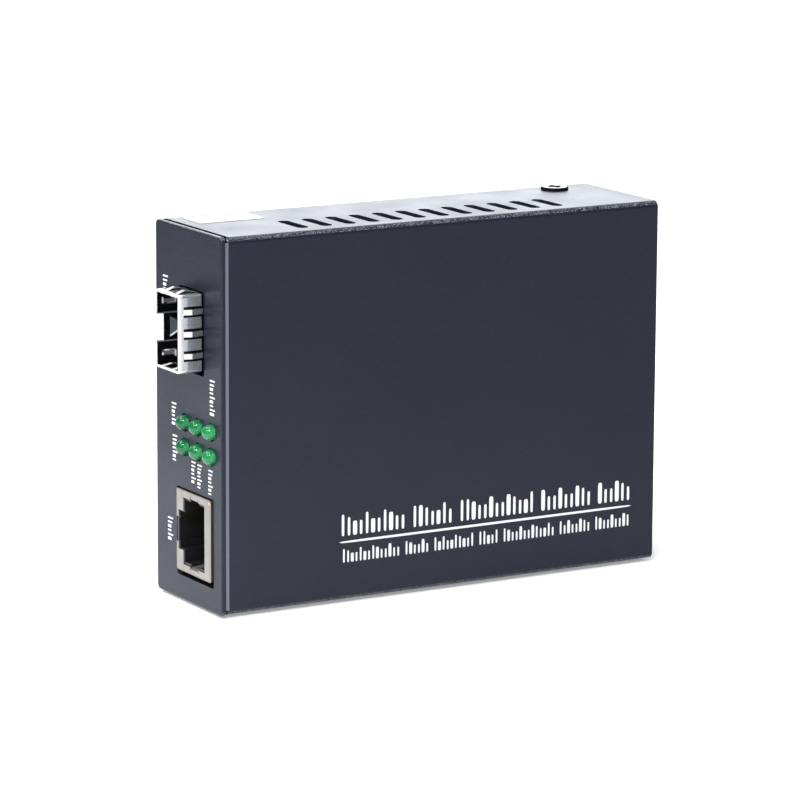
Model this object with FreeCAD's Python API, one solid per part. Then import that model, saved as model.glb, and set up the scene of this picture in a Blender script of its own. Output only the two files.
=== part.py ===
import FreeCAD, Part
import math
import os

# A gigabit fibre media converter in a folded steel case, standing on its long narrow side.
# Millimetres. While it is built, X runs back from the port panel's face, Y from the printed face
# of the cover to the outside of the base plate, and Z up from the lower side wall. Each solid is
# then moved so that the origin is the centre of the case's footprint, on what it stands on.

V = FreeCAD.Vector

# ---- Case ----
case_length = 95.0       # port panel to the cover's rear edge
case_depth = 26.0        # printed face to base plate
case_height = 70.5       # lower side wall to upper side wall
sheet = 1.0              # folded steel, cover and chassis
bend_radius = 1.2        # outside radius of each fold
slide_gap = 0.15         # the chassis inside the cover
panel_reveal = 0.15      # the port panel stands this far outside the cover
panel_seam = 0.35        # open seam between the port panel and the cover
panel_corner = 1.0
panel_rim = 0.35         # softened front edge of the port panel
panel_back_rim = 0.3     # softened edge of the port panel, at the seam
cover_rim = 0.45         # softened front edge of the cover
rear_inset = 0.3         # rear panel inside the cover's rear edge
relief_slit = 0.5        # slit beside a fold, so that the sheet doesn't tear
flange_height = 8.0      # chassis side flanges, from the outside of the base plate
edge_setback = 0.1       # the cover's edges stop short of the base plate's outside
punch_corner = 0.4       # corners of the punched openings
past = 1.0               # every cutter runs this far past what it cuts

# ---- Vents, in both side walls ----
vent_count = 12
vent_pitch = 5.04
vent_first = 19.6
vent_width = 2.3
vent_near = 3.7
vent_far = 13.1

# ---- Cover screws ----
cover_screw_x = 85.4
cover_screw_y = 22.0
cover_head_radius = 2.7
cover_head_height = 0.6
cover_hole_gap = 0.2
thread_radius = 1.5      # M3
thread_gap = 0.05        # between a thread and the metal it is driven into
cover_screw_length = 5.0
recess_reach = 0.95      # arms of the cross recess, in head radii
recess_width = 0.2       # their width, in head radii
recess_depth = 0.55      # and depth, in head heights
head_round = 0.6         # rounded edge of a head, in head heights
collar_radius = 2.4      # drawn collar round each tapped hole
collar_height = 1.0

# ---- Circuit board ----
board_face = 17.4        # component side
board_thickness = 1.6
board_front = 1.6
board_end_gap = 1.2      # board to the inside of the rear panel
board_side_gap = 0.45    # board to the side flanges
board_corner = 1.5
board_fixing_x = (19.0, 74.0)
board_fixing_edge = 4.2  # fixing hole to the board's edge
board_hole_gap = 0.1     # round every lead, peg and screw that passes through
standoff_flats = 5.0
spigot_radius = 2.1      # swaged end of a standoff, in the base plate
spigot_setback = 0.1
board_head_radius = 2.75
board_head_height = 1.8
board_screw_length = 5.5
lead_tail = 1.2          # how far leads stand out of the solder side
lead_drill = 0.75        # a flat lead's drilled hole: its radius, in lead widths

# ---- Copper port: shielded 8-way jack, latch side to the board ----
jack_reveal = 0.27       # the jack stands out of the panel
jack_length = 15.75
jack_width = 15.6        # along Z
jack_height = 13.8       # along Y, off the board
jack_z = 13.3            # middle of the jack
jack_skin = 0.25
jack_corner = 0.5
jack_cut_gap = (0.55, 0.3, 1.0, 0.3)   # panel round the jack: near, far, below, above
mouth_width = 12.8       # mouth in the shield, along Z
mouth_near = 2.6         # rim between the mouth and the jack's near side
mouth_depth = 8.45       # contact side to latch side
latch_wide = 7.5         # first step of the latch notch
latch_step = 1.9
latch_narrow = 4.75      # second step, open to the jack's edge
cavity_width = 11.9
cavity_depth = 12.5
cavity_near = 3.1
cavity_height = 7.7
moulding_step = 0.4      # the moulding stands inside the shield's mouth
housing_floor = 0.6      # moulding under the latch notch
jack_peg_radius = 1.6
jack_peg_x = 6.4
jack_peg_pitch = 11.4
jack_leg_x = 9.6
jack_leg = 1.6
contact_count = 8
contact_pitch = 1.02
contact_width = 0.45
contact_skin = 0.3
contact_nose = 1.0       # foremost point of the contact wires
contact_rise = 0.9       # top run of the wires, from the jack's near side
contact_hook = 1.0
contact_tip = (8.0, 4.9) # free end: behind the panel, and from the jack's near side
jack_tail_x = 12.8
comb_gap = 0.1
comb_reach = 0.5         # the comb's slots open this far into the cavity
shield_finger_width = 2.9
shield_finger_length = 3.4
finger_offset = 4.1      # middle of a grounding finger from the mouth's near side
finger_slit = 0.2
finger_root = 0.6
finger_lean = 0.35

# ---- Fibre port: pluggable transceiver cage ----
cage_z = 52.05
cage_y = 11.5
cage_width = 14.3        # along Z
cage_height = 9.1        # along Y
cage_length = 48.7
cage_skin = 0.2
cage_corner = 0.4
cage_reveal = 5.05       # spring collar's lip to the panel
collar_skin = 0.1
collar_gap = 0.03
collar_tail_gap = 0.4    # broad collar fingers to the panel
collar_band = 1.0        # plain lip in front of the fingers
spring_width = 1.0       # narrow collar springs
spring_slit = 0.5
spring_pitch = 4.1
spring_bulge = 0.55
cage_cut_gap = (0.2, 0.4, 0.95, 0.3)   # panel round the collar: near, far, below, above
tongue_width = 5.0       # sprung latch tongue in the board side of the cage
tongue_slit = 0.3
tongue_length = 12.0
tongue_lip = 1.4
tongue_flare = 0.5
tongue_root = 0.5        # flat run behind the flare
latch_hole_mouth = 2.2   # straight edge of the latch hole, in front of the panel
latch_hole_length = 3.4
latch_hole_width = 3.8
window_mouth = 1.1
window_length = 2.9
window_width = 1.1
window_offset = 4.8
lip_depth = 0.34         # the collar's lip covers the edge of the cage
inner_bow = 0.35
inner_lip = (0.4, 0.05)  # straight lead-in of an inner spring: length and drop
inner_crest = 2.0
inner_length = 3.4
outer_root = 0.3         # flat run in front of an outer spring
spring_crest = 1.5
spring_tail_gap = 0.1
cage_leg_x = (6.0, 22.0, 38.0)
cage_leg = 0.7
cage_shoulder = 0.6      # shoulder beside a leg, on each side
cage_vent_first = 12.0
cage_vent_pitch = 4.4
cage_vent_count = 6
cage_vent_row = 3.2
cage_vent_radius = 0.9
host_setback = 3.65      # host connector's back to the cage's rear
host_length = 8.6
host_width = 10.2
host_rise = 3.4          # above the transceiver's centre line
host_slot = 1.6
host_slot_depth = 5.0
host_wall = 0.6          # moulding beside the card slot
host_opening = 0.5       # opening in the cage round the connector
host_contact_count = 10
host_pitch = 0.8
host_tail_rise = 0.7
host_tail_skin = 0.2
host_tail_gap = 0.1      # tails to the moulding
host_tail_bend = (0.2, 0.6, 1.6)   # bend, landing and toe, behind the connector
host_tail_start = 0.3
host_peg_x = 2.2
host_peg_pitch = 8.4
host_peg_radius = 0.7
host_corner = 0.4

# ---- Indicators ----
led_radius = 1.5
led_reveal = 1.75        # dome tip to the panel
led_hole_radius = 1.75
led_rim_radius = 1.9
led_rim = 0.8
led_barrel = 4.9         # tip to rim
led_z = (33.95, 29.3)
led_first_y = 3.95
led_pitch = 5.25
led_rows = 3
led_lead_pitch = 2.54
lead_width = 0.5
lead_first_x = 5.2       # leads of the row next to the board bend down here
lead_row_pitch = 2.5
holder_front = 1.25
holder_wall = 2.6
holder_side = 1.0
holder_length = 10.6
holder_gap = 0.05
holder_shoulder = 1.5    # cheeks start to slope this far behind the front
holder_lap = 0.5         # cheeks run this far into the front
holder_heel = 4.0        # height of the cheeks' rear edge
holder_peg_x = 9.0
holder_peg_radius = 0.6

# ---- Power inlet ----
inlet_z = 18.0
inlet_width = 9.0
inlet_height = 11.0      # off the board
inlet_length = 14.9
inlet_flange = 3.4
inlet_axis = 6.5         # barrel's axis above the board
inlet_setback = 0.2      # nose inside the rear panel's face
inlet_cut_gap = 0.25
inlet_bore_radius = 3.15
inlet_bore_depth = 10.0
inlet_pin_radius = 1.0
inlet_eye_radius = 2.0   # eye of the rear tag
inlet_pin_setback = 0.8
inlet_body_radius = 4.3
tag_skin = 0.4
tag_width = 2.0
tag_step = 0.2           # tags stop this far outside the barrel's bore
tag_sleeve_x = 5.0       # sleeve contact and switch tags, from the socket's back
tag_switch_x = 2.4
tag_switch_z = 3.0
tag_gap = 0.05
inlet_stem_radius = 0.8  # the pin's shank, behind the bore's floor
inlet_tip_round = 0.6
inlet_corner = 0.4

# ---- Parts on the board ----
chip_rise = 0.1
chip_foot = 0.9
chip_lead = 0.35
chip_lead_share = 0.5    # of the pitch
chip_edge = 0.12         # softened top edge, in heights
converter_place = (57.0, 31.0)
converter_width = 14.0
converter_height = 1.4
converter_lead_count = 10      # on each side
converter_lead_pitch = 1.2
memory_inset = (20.5, 10.9)    # middle to the board's rear end and upper edge
memory_size = (5.0, 4.0, 1.4)
memory_lead_count = 4
memory_lead_pitch = 1.27
transformer_place = (31.0, 13.3)
transformer_size = (15.2, 10.4, 5.4)
transformer_lead_count = 8
transformer_lead_pitch = 1.8
regulator_place = (70.0, 17.0)
regulator_size = (6.2, 6.5, 2.2)
regulator_tab = (2.0, 5.2)
regulator_tab_x = 3.6
regulator_lead = (2.2, 0.8)
regulator_lead_x = 4.0
regulator_pitch = 2.28
regulator_skin = 0.5
inductor_place = (70.0, 29.5)
inductor_width = 7.2
inductor_height = 3.6
inductor_corner = 1.6
inductor_well = (2.6, 0.4)     # radius and depth
capacitor_size = (2.0, 1.25, 1.0)
capacitor_row = (50.5, 3.3, 5)       # first, pitch and count along X
capacitor_z = (20.6, 41.4)
capacitor_pair = ((62.0, 12.0), (62.0, 15.0))
resistor_size = (1.6, 0.8, 0.5)
resistor_rows = ((42.5, 9.0, 2.4, 5), (14.5, 28.0, 2.2, 4))   # x, first z, pitch and count
crystal_place = (74.0, 43.0)
crystal_length = 11.0
crystal_width = 4.5
crystal_height = 3.4
crystal_lead_pitch = 4.9
can_pair = ((84.0, 33.0), (84.0, 42.0))
can_inset = (30.5, 12.9)       # third can's middle to the board's rear end and upper edge
can_radius = 3.15
can_height = 7.2
can_neck = 0.7
can_neck_rise = 1.2
can_neck_depth = 0.3
lead_seat = 0.1          # leads start this far inside their part
can_lead_pitch = 2.5
can_lead_radius = 0.3

# ---- Seal label ----
label_x = (4.9, 18.4)
label_y = (17.0, 24.4)
label_skin = 0.08
label_corner = 0.3

# ---- Worked out ----
rear_face = case_length - rear_inset
rear_inside = rear_face - sheet
cover_front = sheet + panel_seam
cover_edge = case_depth - edge_setback
chassis_low = sheet + slide_gap
chassis_high = case_height - chassis_low
chassis_near = sheet + slide_gap
base_inside = case_depth - sheet
board_back = board_face + board_thickness
board_end = rear_inside - board_end_gap
board_low = chassis_low + sheet + board_side_gap
board_high = case_height - board_low
board_fixings = [(x, z) for x in board_fixing_x
                 for z in (board_low + board_fixing_edge, board_high - board_fixing_edge)]
jack_front = -jack_reveal
jack_near = board_face - jack_height
jack_rear = jack_front + jack_length
contact_places = [jack_z + contact_pitch * (index - (contact_count - 1) / 2)
                  for index in range(contact_count)]
contact_top = jack_near + contact_rise
contact_tip_x, contact_tip_y = contact_tip[0], jack_near + contact_tip[1]
jack_low = jack_z - jack_width / 2
jack_high = jack_z + jack_width / 2
cage_front = collar_skin - cage_reveal
cage_rear = cage_front + cage_length
host_rear = cage_rear - host_setback
host_front = host_rear - host_length
cage_near = cage_y - cage_height / 2
cage_far = cage_y + cage_height / 2
cage_low = cage_z - cage_width / 2
cage_high = cage_z + cage_width / 2
led_places = [(led_first_y + led_pitch * row, z) for row in reversed(range(led_rows)) for z in led_z]
holder_low = min(led_z) - led_rim_radius - holder_side
holder_high = max(led_z) + led_rim_radius + holder_side
holder_peg_z = (holder_low + holder_side / 2, holder_high - holder_side / 2)
inlet_nose = rear_face - inlet_setback
inlet_front = inlet_nose - inlet_length
inlet_tags = [(inlet_front - tag_skin / 2, inlet_z), (inlet_front + tag_sleeve_x, inlet_z),
              (inlet_front + tag_switch_x, inlet_z + tag_switch_z)]
inlet_y = board_face - inlet_axis
memory_place = (board_end - memory_inset[0], board_high - memory_inset[1])
can_places = can_pair + ((board_end - can_inset[0], board_high - can_inset[1]),)
footprint = V((case_length - cage_reveal) / 2, (case_depth - panel_reveal) / 2, -cover_head_height)

AXES = {"x": V(1, 0, 0), "y": V(0, 1, 0), "z": V(0, 0, 1)}


# ---- Small tools ----
def box(x, y, z):
    """A block between pairs of low and high values."""
    return Part.makeBox(x[1] - x[0], y[1] - y[0], z[1] - z[0], V(x[0], y[0], z[0]))


def edges_along(shape, axis):
    """The straight edges that run along an axis."""
    return [edge for edge in shape.Edges
            if isinstance(edge.Curve, Part.Line) and abs(edge.Curve.Direction.dot(AXES[axis])) > 0.999]


def soft_box(x, y, z, radius, axis):
    """A block whose four edges along an axis are rounded."""
    block = box(x, y, z)
    return block.makeFillet(radius, edges_along(block, axis))


def rod(start, radius, length, axis):
    """A cylinder from its end's centre along an axis; a negative length runs the other way."""
    direction = AXES[axis] * math.copysign(1, length)
    return Part.makeCylinder(radius, abs(length), V(*start), direction)


def span(centre, width):
    """The low and high value of a width about its centre."""
    return (centre - width / 2, centre + width / 2)


def fuse(shapes):
    """One solid from several that meet."""
    return shapes[0].multiFuse(shapes[1:]).removeSplitter()


def carve(shape, cutters):
    """What is left of a shape when cutters are taken out of it."""
    return shape.cut(list(cutters))


def stand(face, plane, low, high):
    """Extrudes a face drawn in u, v between two values of the third axis."""
    if plane == "xy":
        turn = FreeCAD.Matrix()
    elif plane == "yz":
        turn = FreeCAD.Matrix(0, 0, 1, 0, 1, 0, 0, 0, 0, 1, 0, 0, 0, 0, 0, 1)
    else:
        turn = FreeCAD.Matrix(1, 0, 0, 0, 0, 0, -1, 0, 0, 1, 0, 0, 0, 0, 0, 1)
        low, high = -high, -low
    solid = face.extrude(V(0, 0, high - low))
    solid.translate(V(0, 0, low))
    return solid.transformed(turn)


def prism(points, plane, low, high):
    """Extrudes a polygon drawn in a plane."""
    corners = [V(u, v, 0) for u, v in points]
    return stand(Part.Face(Part.makePolygon(corners + corners[:1])), plane, low, high)


def offset_path(path, distance):
    """The path moved sideways, to its right, with its corners mitred."""
    normals = []
    for start, end in zip(path, path[1:]):
        along = (end - start).normalize()
        normals.append(V(along.y, -along.x, 0))
    moved = [path[0] + normals[0] * distance]
    for corner, before, after in zip(path[1:], normals, normals[1:]):
        moved.append(corner + (before + after) * (distance / (1 + before.dot(after))))
    moved.append(path[-1] + normals[-1] * distance)
    return moved


def rounded_path(path, right_radius, left_radius):
    """Straight runs joined by tangent arcs, with one radius for each way of turning."""
    edges = []
    start = path[0]
    for before, corner, after in zip(path, path[1:], path[2:]):
        towards = (corner - before).normalize()
        away = (after - corner).normalize()
        turn = towards.getAngle(away)
        radius = right_radius if towards.cross(away).z < 0 else left_radius
        reach = radius * math.tan(turn / 2)
        first, last = corner - towards * reach, corner + away * reach
        middle = corner + (away - towards).normalize() * radius * (1 / math.cos(turn / 2) - 1)
        edges.append(Part.LineSegment(start, first).toShape())
        edges.append(Part.Arc(first, middle, last).toShape())
        start = last
    edges.append(Part.LineSegment(start, path[-1]).toShape())
    return edges


def folded(points, thickness, radius, plane, low, high):
    """Sheet folded along a path on its left face; radius is the outside of each fold."""
    left = [V(u, v, 0) for u, v in points]
    right = offset_path(left, thickness)
    inner = radius - thickness
    edges = rounded_path(left, radius, inner) + rounded_path(right, inner, radius)
    ends = [Part.LineSegment(left[0], right[0]).toShape(), Part.LineSegment(left[-1], right[-1]).toShape()]
    outline = Part.Wire(Part.__sortEdges__(edges + ends))
    return stand(Part.Face(outline), plane, low, high)


def across(shape):
    """The same shape on the opposite side wall."""
    return shape.mirror(V(0, 0, case_height / 2), AXES["z"])


def pan_screw(place, axis, way, head_radius, head_height, length):
    """A cross-recess screw; place is the underside of its head, way is +1 or -1 out of the head."""
    head = rod(place, head_radius, way * head_height, axis)
    top = [edge for edge in head.Edges if edge.Closed
           and abs((edge.CenterOfMass - V(*place)).dot(AXES[axis]) - way * head_height) < 1e-6]
    head = head.makeFillet(head_height * head_round, top)
    screw = fuse([head, rod(place, thread_radius, -way * length, axis)])
    centre = V(*place) + AXES[axis] * (way * head_height)
    cross = []
    for side in "xyz".replace(axis, ""):
        size = {name: head_radius * recess_width for name in "xyz"}
        size[side] = head_radius * recess_reach
        size[axis] = 2 * head_height * recess_depth
        cross.append(box(*[span(getattr(centre, name), size[name]) for name in "xyz"]))
    return carve(screw, cross)


# ---- Case ----
def vent_cutters():
    """Round-ended slots through both side walls."""
    half = vent_width / 2
    ends = (vent_near + half, vent_far - half)
    through = case_height + 2 * past
    for index in range(vent_count):
        x = vent_first + vent_pitch * index
        middle = box((x - half, x + half), ends, (-past, case_height + past))
        yield fuse([middle] + [rod((x, y, -past), half, through, "z") for y in ends])


def front_rim(extent):
    """Whether a box bounds one of the outer edges round the cover's front."""
    outside = extent.YMin < 1e-6 or extent.ZMin < 1e-6 or extent.ZMax > case_height - 1e-6
    return extent.XMax < cover_front + 1e-6 and outside and extent.YMin < cover_edge - 1e-6


def top_cover():
    """The channel that makes the printed face and both side walls."""
    path = [(cover_edge, 0), (0, 0), (0, case_height), (cover_edge, case_height)]
    cover = folded(path, sheet, bend_radius, "yz", cover_front, case_length)
    cover = cover.makeFillet(cover_rim, [edge for edge in cover.Edges if front_rim(edge.BoundBox)])
    place = (cover_screw_x, cover_screw_y, -past)
    hole = rod(place, thread_radius + cover_hole_gap, case_height + 2 * past, "z")
    return carve(cover, list(vent_cutters()) + [hole])


def port_panel():
    """The chassis's front wall, softened in front and along the seam."""
    panel = soft_box((0, sheet), (-panel_reveal, case_depth),
                     (-panel_reveal, case_height + panel_reveal), panel_corner, "x")
    panel = panel.makeFillet(panel_rim, [edge for edge in panel.Edges if edge.BoundBox.XMax < 1e-6])
    back = [edge for edge in panel.Edges if edge.BoundBox.XMin > sheet - 1e-6]
    return panel.makeFillet(panel_back_rim, back)


def jack_cutter():
    near, far, below, above = jack_cut_gap
    return soft_box((-past, sheet + past), (jack_near - near, board_face + far),
                    (jack_low - below, jack_high + above), punch_corner, "x")


def cage_cutter():
    near, far, below, above = cage_cut_gap
    skin = collar_skin + collar_gap
    return soft_box((-past, sheet + past), (cage_near - skin - near, cage_far + skin + far),
                    (cage_low - skin - below, cage_high + skin + above), punch_corner, "x")


def inlet_cutter():
    return box((rear_inside - past, rear_face + past),
               (board_face - inlet_height - inlet_cut_gap, board_face + inlet_cut_gap),
               (inlet_z - inlet_width / 2 - inlet_cut_gap, inlet_z + inlet_width / 2 + inlet_cut_gap))


def side_flange():
    """The lower side flange and the drawn, tapped collar for its cover screw."""
    path = [(case_depth, chassis_low + 3 * bend_radius), (case_depth, chassis_low),
            (case_depth - flange_height, chassis_low)]
    flange = folded(path, sheet, bend_radius, "yz", sheet + relief_slit,
                    rear_face - bend_radius - relief_slit)
    place = (cover_screw_x, cover_screw_y, chassis_low)
    collar = rod(place, collar_radius, sheet + collar_height, "z")
    trim = box((0, case_length), (0, case_depth - bend_radius), (0, case_height))
    return fuse([flange, collar.common(trim)])


def base_chassis():
    """Port panel, base plate, rear panel and side flanges, folded from one sheet."""
    path = [(panel_rim, case_depth), (rear_face, case_depth), (rear_face, case_depth - 2 * bend_radius)]
    floor = folded(path, sheet, bend_radius, "xy", chassis_low + bend_radius, chassis_high - bend_radius)
    rear = box((rear_inside, rear_face), (chassis_near, case_depth - bend_radius),
               (chassis_low, chassis_high))
    flange = side_flange()
    chassis = fuse([floor, port_panel(), rear, flange, across(flange)])
    tapped = rod((cover_screw_x, cover_screw_y, 0), thread_radius + thread_gap, case_height, "z")
    lamps = [rod((-past, y, z), led_hole_radius, sheet + 2 * past, "x") for y, z in led_places]
    sockets = [rod((x, base_inside - past, z), spigot_radius + thread_gap, sheet + 2 * past, "y")
               for x, z in board_fixings]
    return carve(chassis, [jack_cutter(), cage_cutter(), inlet_cutter(), tapped] + lamps + sockets)


def cover_screws():
    """One screw through each side wall; the converter stands on the lower one's head."""
    upper = pan_screw((cover_screw_x, cover_screw_y, case_height), "z", 1,
                      cover_head_radius, cover_head_height, cover_screw_length)
    return [upper, across(upper)]


# ---- Board and its fixings ----
def hexagon(x, z, flats, low, high):
    """A hexagonal bar along Y."""
    corner = flats / math.sqrt(3)
    angles = [math.radians(60 * index) for index in range(6)]
    points = [(x + corner * math.cos(angle), z + corner * math.sin(angle)) for angle in angles]
    return prism(points, "xz", low, high)


def board_standoffs():
    solids = []
    for x, z in board_fixings:
        spigot = rod((x, base_inside, z), spigot_radius, sheet - spigot_setback, "y")
        thread = rod((x, board_face, z), thread_radius + thread_gap, board_screw_length, "y")
        solids.append(carve(fuse([hexagon(x, z, standoff_flats, board_back, base_inside), spigot]), [thread]))
    return solids


def board_screws():
    return [pan_screw((x, board_face, z), "y", -1, board_head_radius, board_head_height, board_screw_length)
            for x, z in board_fixings]


def circuit_board():
    """The bare board with a hole for each screw, peg and lead."""
    board = soft_box((board_front, board_end), (board_face, board_back), (board_low, board_high),
                     board_corner, "y")
    holes = [(x, z, thread_radius) for x, z in board_fixings] + jack_holes() + lead_holes() + can_holes()
    drills = [rod((x, board_face - past, z), radius + board_hole_gap, board_thickness + 2 * past, "y")
              for x, z, radius in holes]
    slots = [box(span(x, length + 2 * board_hole_gap), (board_face - past, board_back + past),
                 span(z, width + 2 * board_hole_gap)) for x, z, length, width in tab_slots()]
    return carve(board, drills + slots)


# ---- Copper port ----
def jack_peg_places():
    return [(jack_peg_x, jack_z + side * jack_peg_pitch / 2) for side in (-1, 1)]


def jack_holes():
    pegs = [(x, z, jack_peg_radius) for x, z in jack_peg_places()]
    tails = [(jack_tail_x + contact_skin / 2, z, contact_width * lead_drill) for z in contact_places]
    return pegs + tails


def mouth_outline():
    """The stepped mouth: contact side, latch side, and a latch notch that runs out at the edge."""
    near = jack_near + mouth_near
    latch_side = near + mouth_depth
    step = latch_side + latch_step
    low, high = span(jack_z, mouth_width)
    wide_low, wide_high = span(jack_z, latch_wide)
    thin_low, thin_high = span(jack_z, latch_narrow)
    return [(near, low), (latch_side, low), (latch_side, wide_low), (step, wide_low), (step, thin_low),
            (board_face + past, thin_low), (board_face + past, thin_high), (step, thin_high), (step, wide_high),
            (latch_side, wide_high), (latch_side, high), (near, high)]


def finger_span():
    return span(jack_near + mouth_near + finger_offset, shield_finger_width)


def shield_finger():
    """A grounding finger folded in from the mouth's lower end."""
    low = jack_z - mouth_width / 2
    path = [(jack_front, low - finger_root), (jack_front, low),
            (jack_front + shield_finger_length, low + finger_lean)]
    return folded(path, jack_skin, 2 * jack_skin, "xz", *finger_span())


def across_jack(shape):
    """The same shape at the jack's other narrow end."""
    return shape.mirror(V(0, 0, jack_z), AXES["z"])


def rj45_shield():
    """The nickel skin: five walls, the stepped mouth, two grounding fingers and two legs."""
    outer = soft_box((jack_front, jack_rear), (jack_near, board_face), (jack_low, jack_high),
                     jack_corner, "x")
    inside = box((jack_front + jack_skin, jack_rear - jack_skin), (jack_near + jack_skin, board_face + past),
                 (jack_low + jack_skin, jack_high - jack_skin))
    mouth = prism(mouth_outline(), "yz", jack_front - past, jack_front + past)
    near, far = finger_span()
    low = jack_z - mouth_width / 2
    root = box((jack_front - past, jack_front + jack_skin), (near - finger_slit, far + finger_slit),
               (low - finger_root, jack_z))
    leg = box(span(jack_leg_x, jack_leg), (board_face - past, board_back + lead_tail),
              (jack_low, jack_low + jack_skin))
    shell = carve(outer, [inside, mouth, root, across_jack(root)])
    finger = shield_finger()
    return fuse([shell, finger, across_jack(finger), leg, across_jack(leg)])


def rj45_housing():
    """The moulded insert: plug cavity, latch notch, contact comb and two locating pegs."""
    front, rear = jack_front + jack_skin, jack_rear - jack_skin
    block = box((front, rear), (jack_near + jack_skin, board_face),
                (jack_low + jack_skin, jack_high - jack_skin))
    near = jack_near + cavity_near
    far = near + cavity_height
    deep = (front - past, front + cavity_depth)
    cuts = [box(deep, (near, far), span(jack_z, cavity_width)),
            box(deep, (near, far + latch_step), span(jack_z, latch_wide - moulding_step)),
            box(deep, (near, board_face - housing_floor), span(jack_z, latch_narrow - moulding_step))]
    finger_near, finger_far = finger_span()
    pocket = box((front - past, front + shield_finger_length),
                 (finger_near - finger_slit, finger_far + finger_slit), (jack_low + 2 * jack_skin, jack_z))
    cuts += [pocket, across_jack(pocket)]
    comb_near = contact_top - comb_gap
    comb_rear = jack_tail_x + contact_skin + comb_gap
    for z in contact_places:
        slot = span(z, contact_width + 2 * comb_gap)
        cuts.append(box((contact_nose - comb_gap, comb_rear), (comb_near, near + comb_reach), slot))
        cuts.append(box((jack_tail_x - comb_gap, comb_rear), (comb_near, board_face + past), slot))
    pegs = [rod((x, board_face, z), jack_peg_radius, board_thickness, "y") for x, z in jack_peg_places()]
    return fuse([carve(block, cuts)] + pegs)


def rj45_contacts():
    """Eight gilded wires: up the back, forward over the comb, and folded back into the cavity."""
    back = jack_tail_x + contact_skin
    path = [(back, board_back + lead_tail), (back, contact_top), (contact_nose, contact_top),
            (contact_nose, contact_top + contact_hook), (contact_tip_x, contact_tip_y)]
    return [folded(path, contact_skin, 1.2 * contact_skin, "xy", *span(z, contact_width))
            for z in contact_places]


# ---- Fibre port ----
def cage_side(shape, side, along=0.0):
    """Moves a shape drawn on a wall (x along the cage, z out of it) to one side of the cage."""
    turn, place = {"above": (0, V(0, cage_y, cage_high)), "near": (90, V(0, cage_near, cage_z)),
                   "far": (-90, V(0, cage_far, cage_z)), "below": (180, V(0, cage_y, cage_low))}[side]
    moved = shape.copy()
    moved.translate(V(0, along, 0))
    moved.rotate(V(0, 0, 0), AXES["x"], turn)
    moved.translate(place)
    return moved


def around_cage(front, rear, skin):
    """A block that stands a little way outside the cage on its four sides."""
    return soft_box((front, rear), (cage_near - skin, cage_far + skin), (cage_low - skin, cage_high + skin),
                    cage_corner + skin, "x")


def latch_hole():
    """The triangular hole that the transceiver's latch post drops into, straight edge to the mouth."""
    base, apex = -latch_hole_mouth, latch_hole_length - latch_hole_mouth
    half = latch_hole_width / 2
    return prism([(base, cage_z - half), (apex, cage_z), (base, cage_z + half)], "xz",
                 cage_far - past, cage_far + past)


def cage_legs():
    """Press-fit legs of the cage: x, z, length along X and width along Z."""
    return [(x, z, cage_leg, cage_skin) for x in cage_leg_x
            for z in (cage_low + cage_skin / 2, cage_high - cage_skin / 2)]


def sfp_cage():
    """The transceiver cage: a closed sleeve with a sprung latch tongue, windows, vents and legs."""
    sleeve = around_cage(cage_front, cage_rear, 0)
    bore = soft_box((cage_front - past, cage_rear - cage_skin), (cage_near + cage_skin, cage_far - cage_skin),
                    (cage_low + cage_skin, cage_high - cage_skin), cage_corner - cage_skin, "x")
    low, high = span(cage_z, tongue_width)
    wall = (cage_far - 2 * cage_skin, cage_far + past)
    slits = [box((cage_front - past, cage_front + tongue_length), wall, zs)
             for zs in ((low - tongue_slit, low), (high, high + tongue_slit))]
    lip = box((cage_front - past, cage_front + tongue_lip), wall, (low - tongue_slit, high + tongue_slit))
    windows = [box((cage_front + window_mouth, cage_front + window_mouth + window_length), wall,
                   span(cage_z + side * window_offset, window_width)) for side in (-1, 1)]
    host = box((host_front - host_opening, host_rear + host_opening), wall,
               span(cage_z, host_width + 2 * host_opening))
    first = cage_front + cage_vent_first
    vents = [rod((first + cage_vent_pitch * index, cage_near - past, cage_z + side * cage_vent_row),
                 cage_vent_radius, 2 * past, "y") for index in range(cage_vent_count) for side in (-1, 1)]
    shell = carve(sleeve, [bore, lip, latch_hole(), host] + slits + windows + vents)
    path = [(cage_front, cage_far + tongue_flare), (cage_front + tongue_lip, cage_far),
            (cage_front + tongue_lip + tongue_root, cage_far)]
    flare = folded(path, cage_skin, 3 * cage_skin, "xy", low, high)
    legs = [box(span(x, length), (cage_far - past, board_back + lead_tail), span(z, width))
            for x, z, length, width in cage_legs()]
    shoulders = [box(span(x, length + 2 * cage_shoulder), (cage_far - past, board_face), span(z, width))
                 for x, z, length, width in cage_legs()]
    return fuse([shell, flare] + legs + shoulders)


def outer_spring():
    """A narrow grounding spring, bowed away from the cage."""
    root = collar_band - cage_reveal
    top = collar_gap + collar_skin
    path = [(root - outer_root, top), (root, top), (root + spring_crest, top + spring_bulge),
            (-spring_tail_gap, top)]
    return folded(path, collar_skin, 6 * collar_skin, "xz", *span(0, spring_width))


def inner_spring():
    """A spring inside the mouth that bears on the transceiver."""
    front, root = -cage_reveal, -lip_depth + collar_skin / 2
    run, drop = inner_lip
    path = [(front, root), (front + run, root - drop),
            (front + inner_crest, root - inner_bow), (front + inner_length, root - inner_bow / 2)]
    return folded(path, collar_skin, 6 * collar_skin, "xz", *span(0, spring_width))


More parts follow.
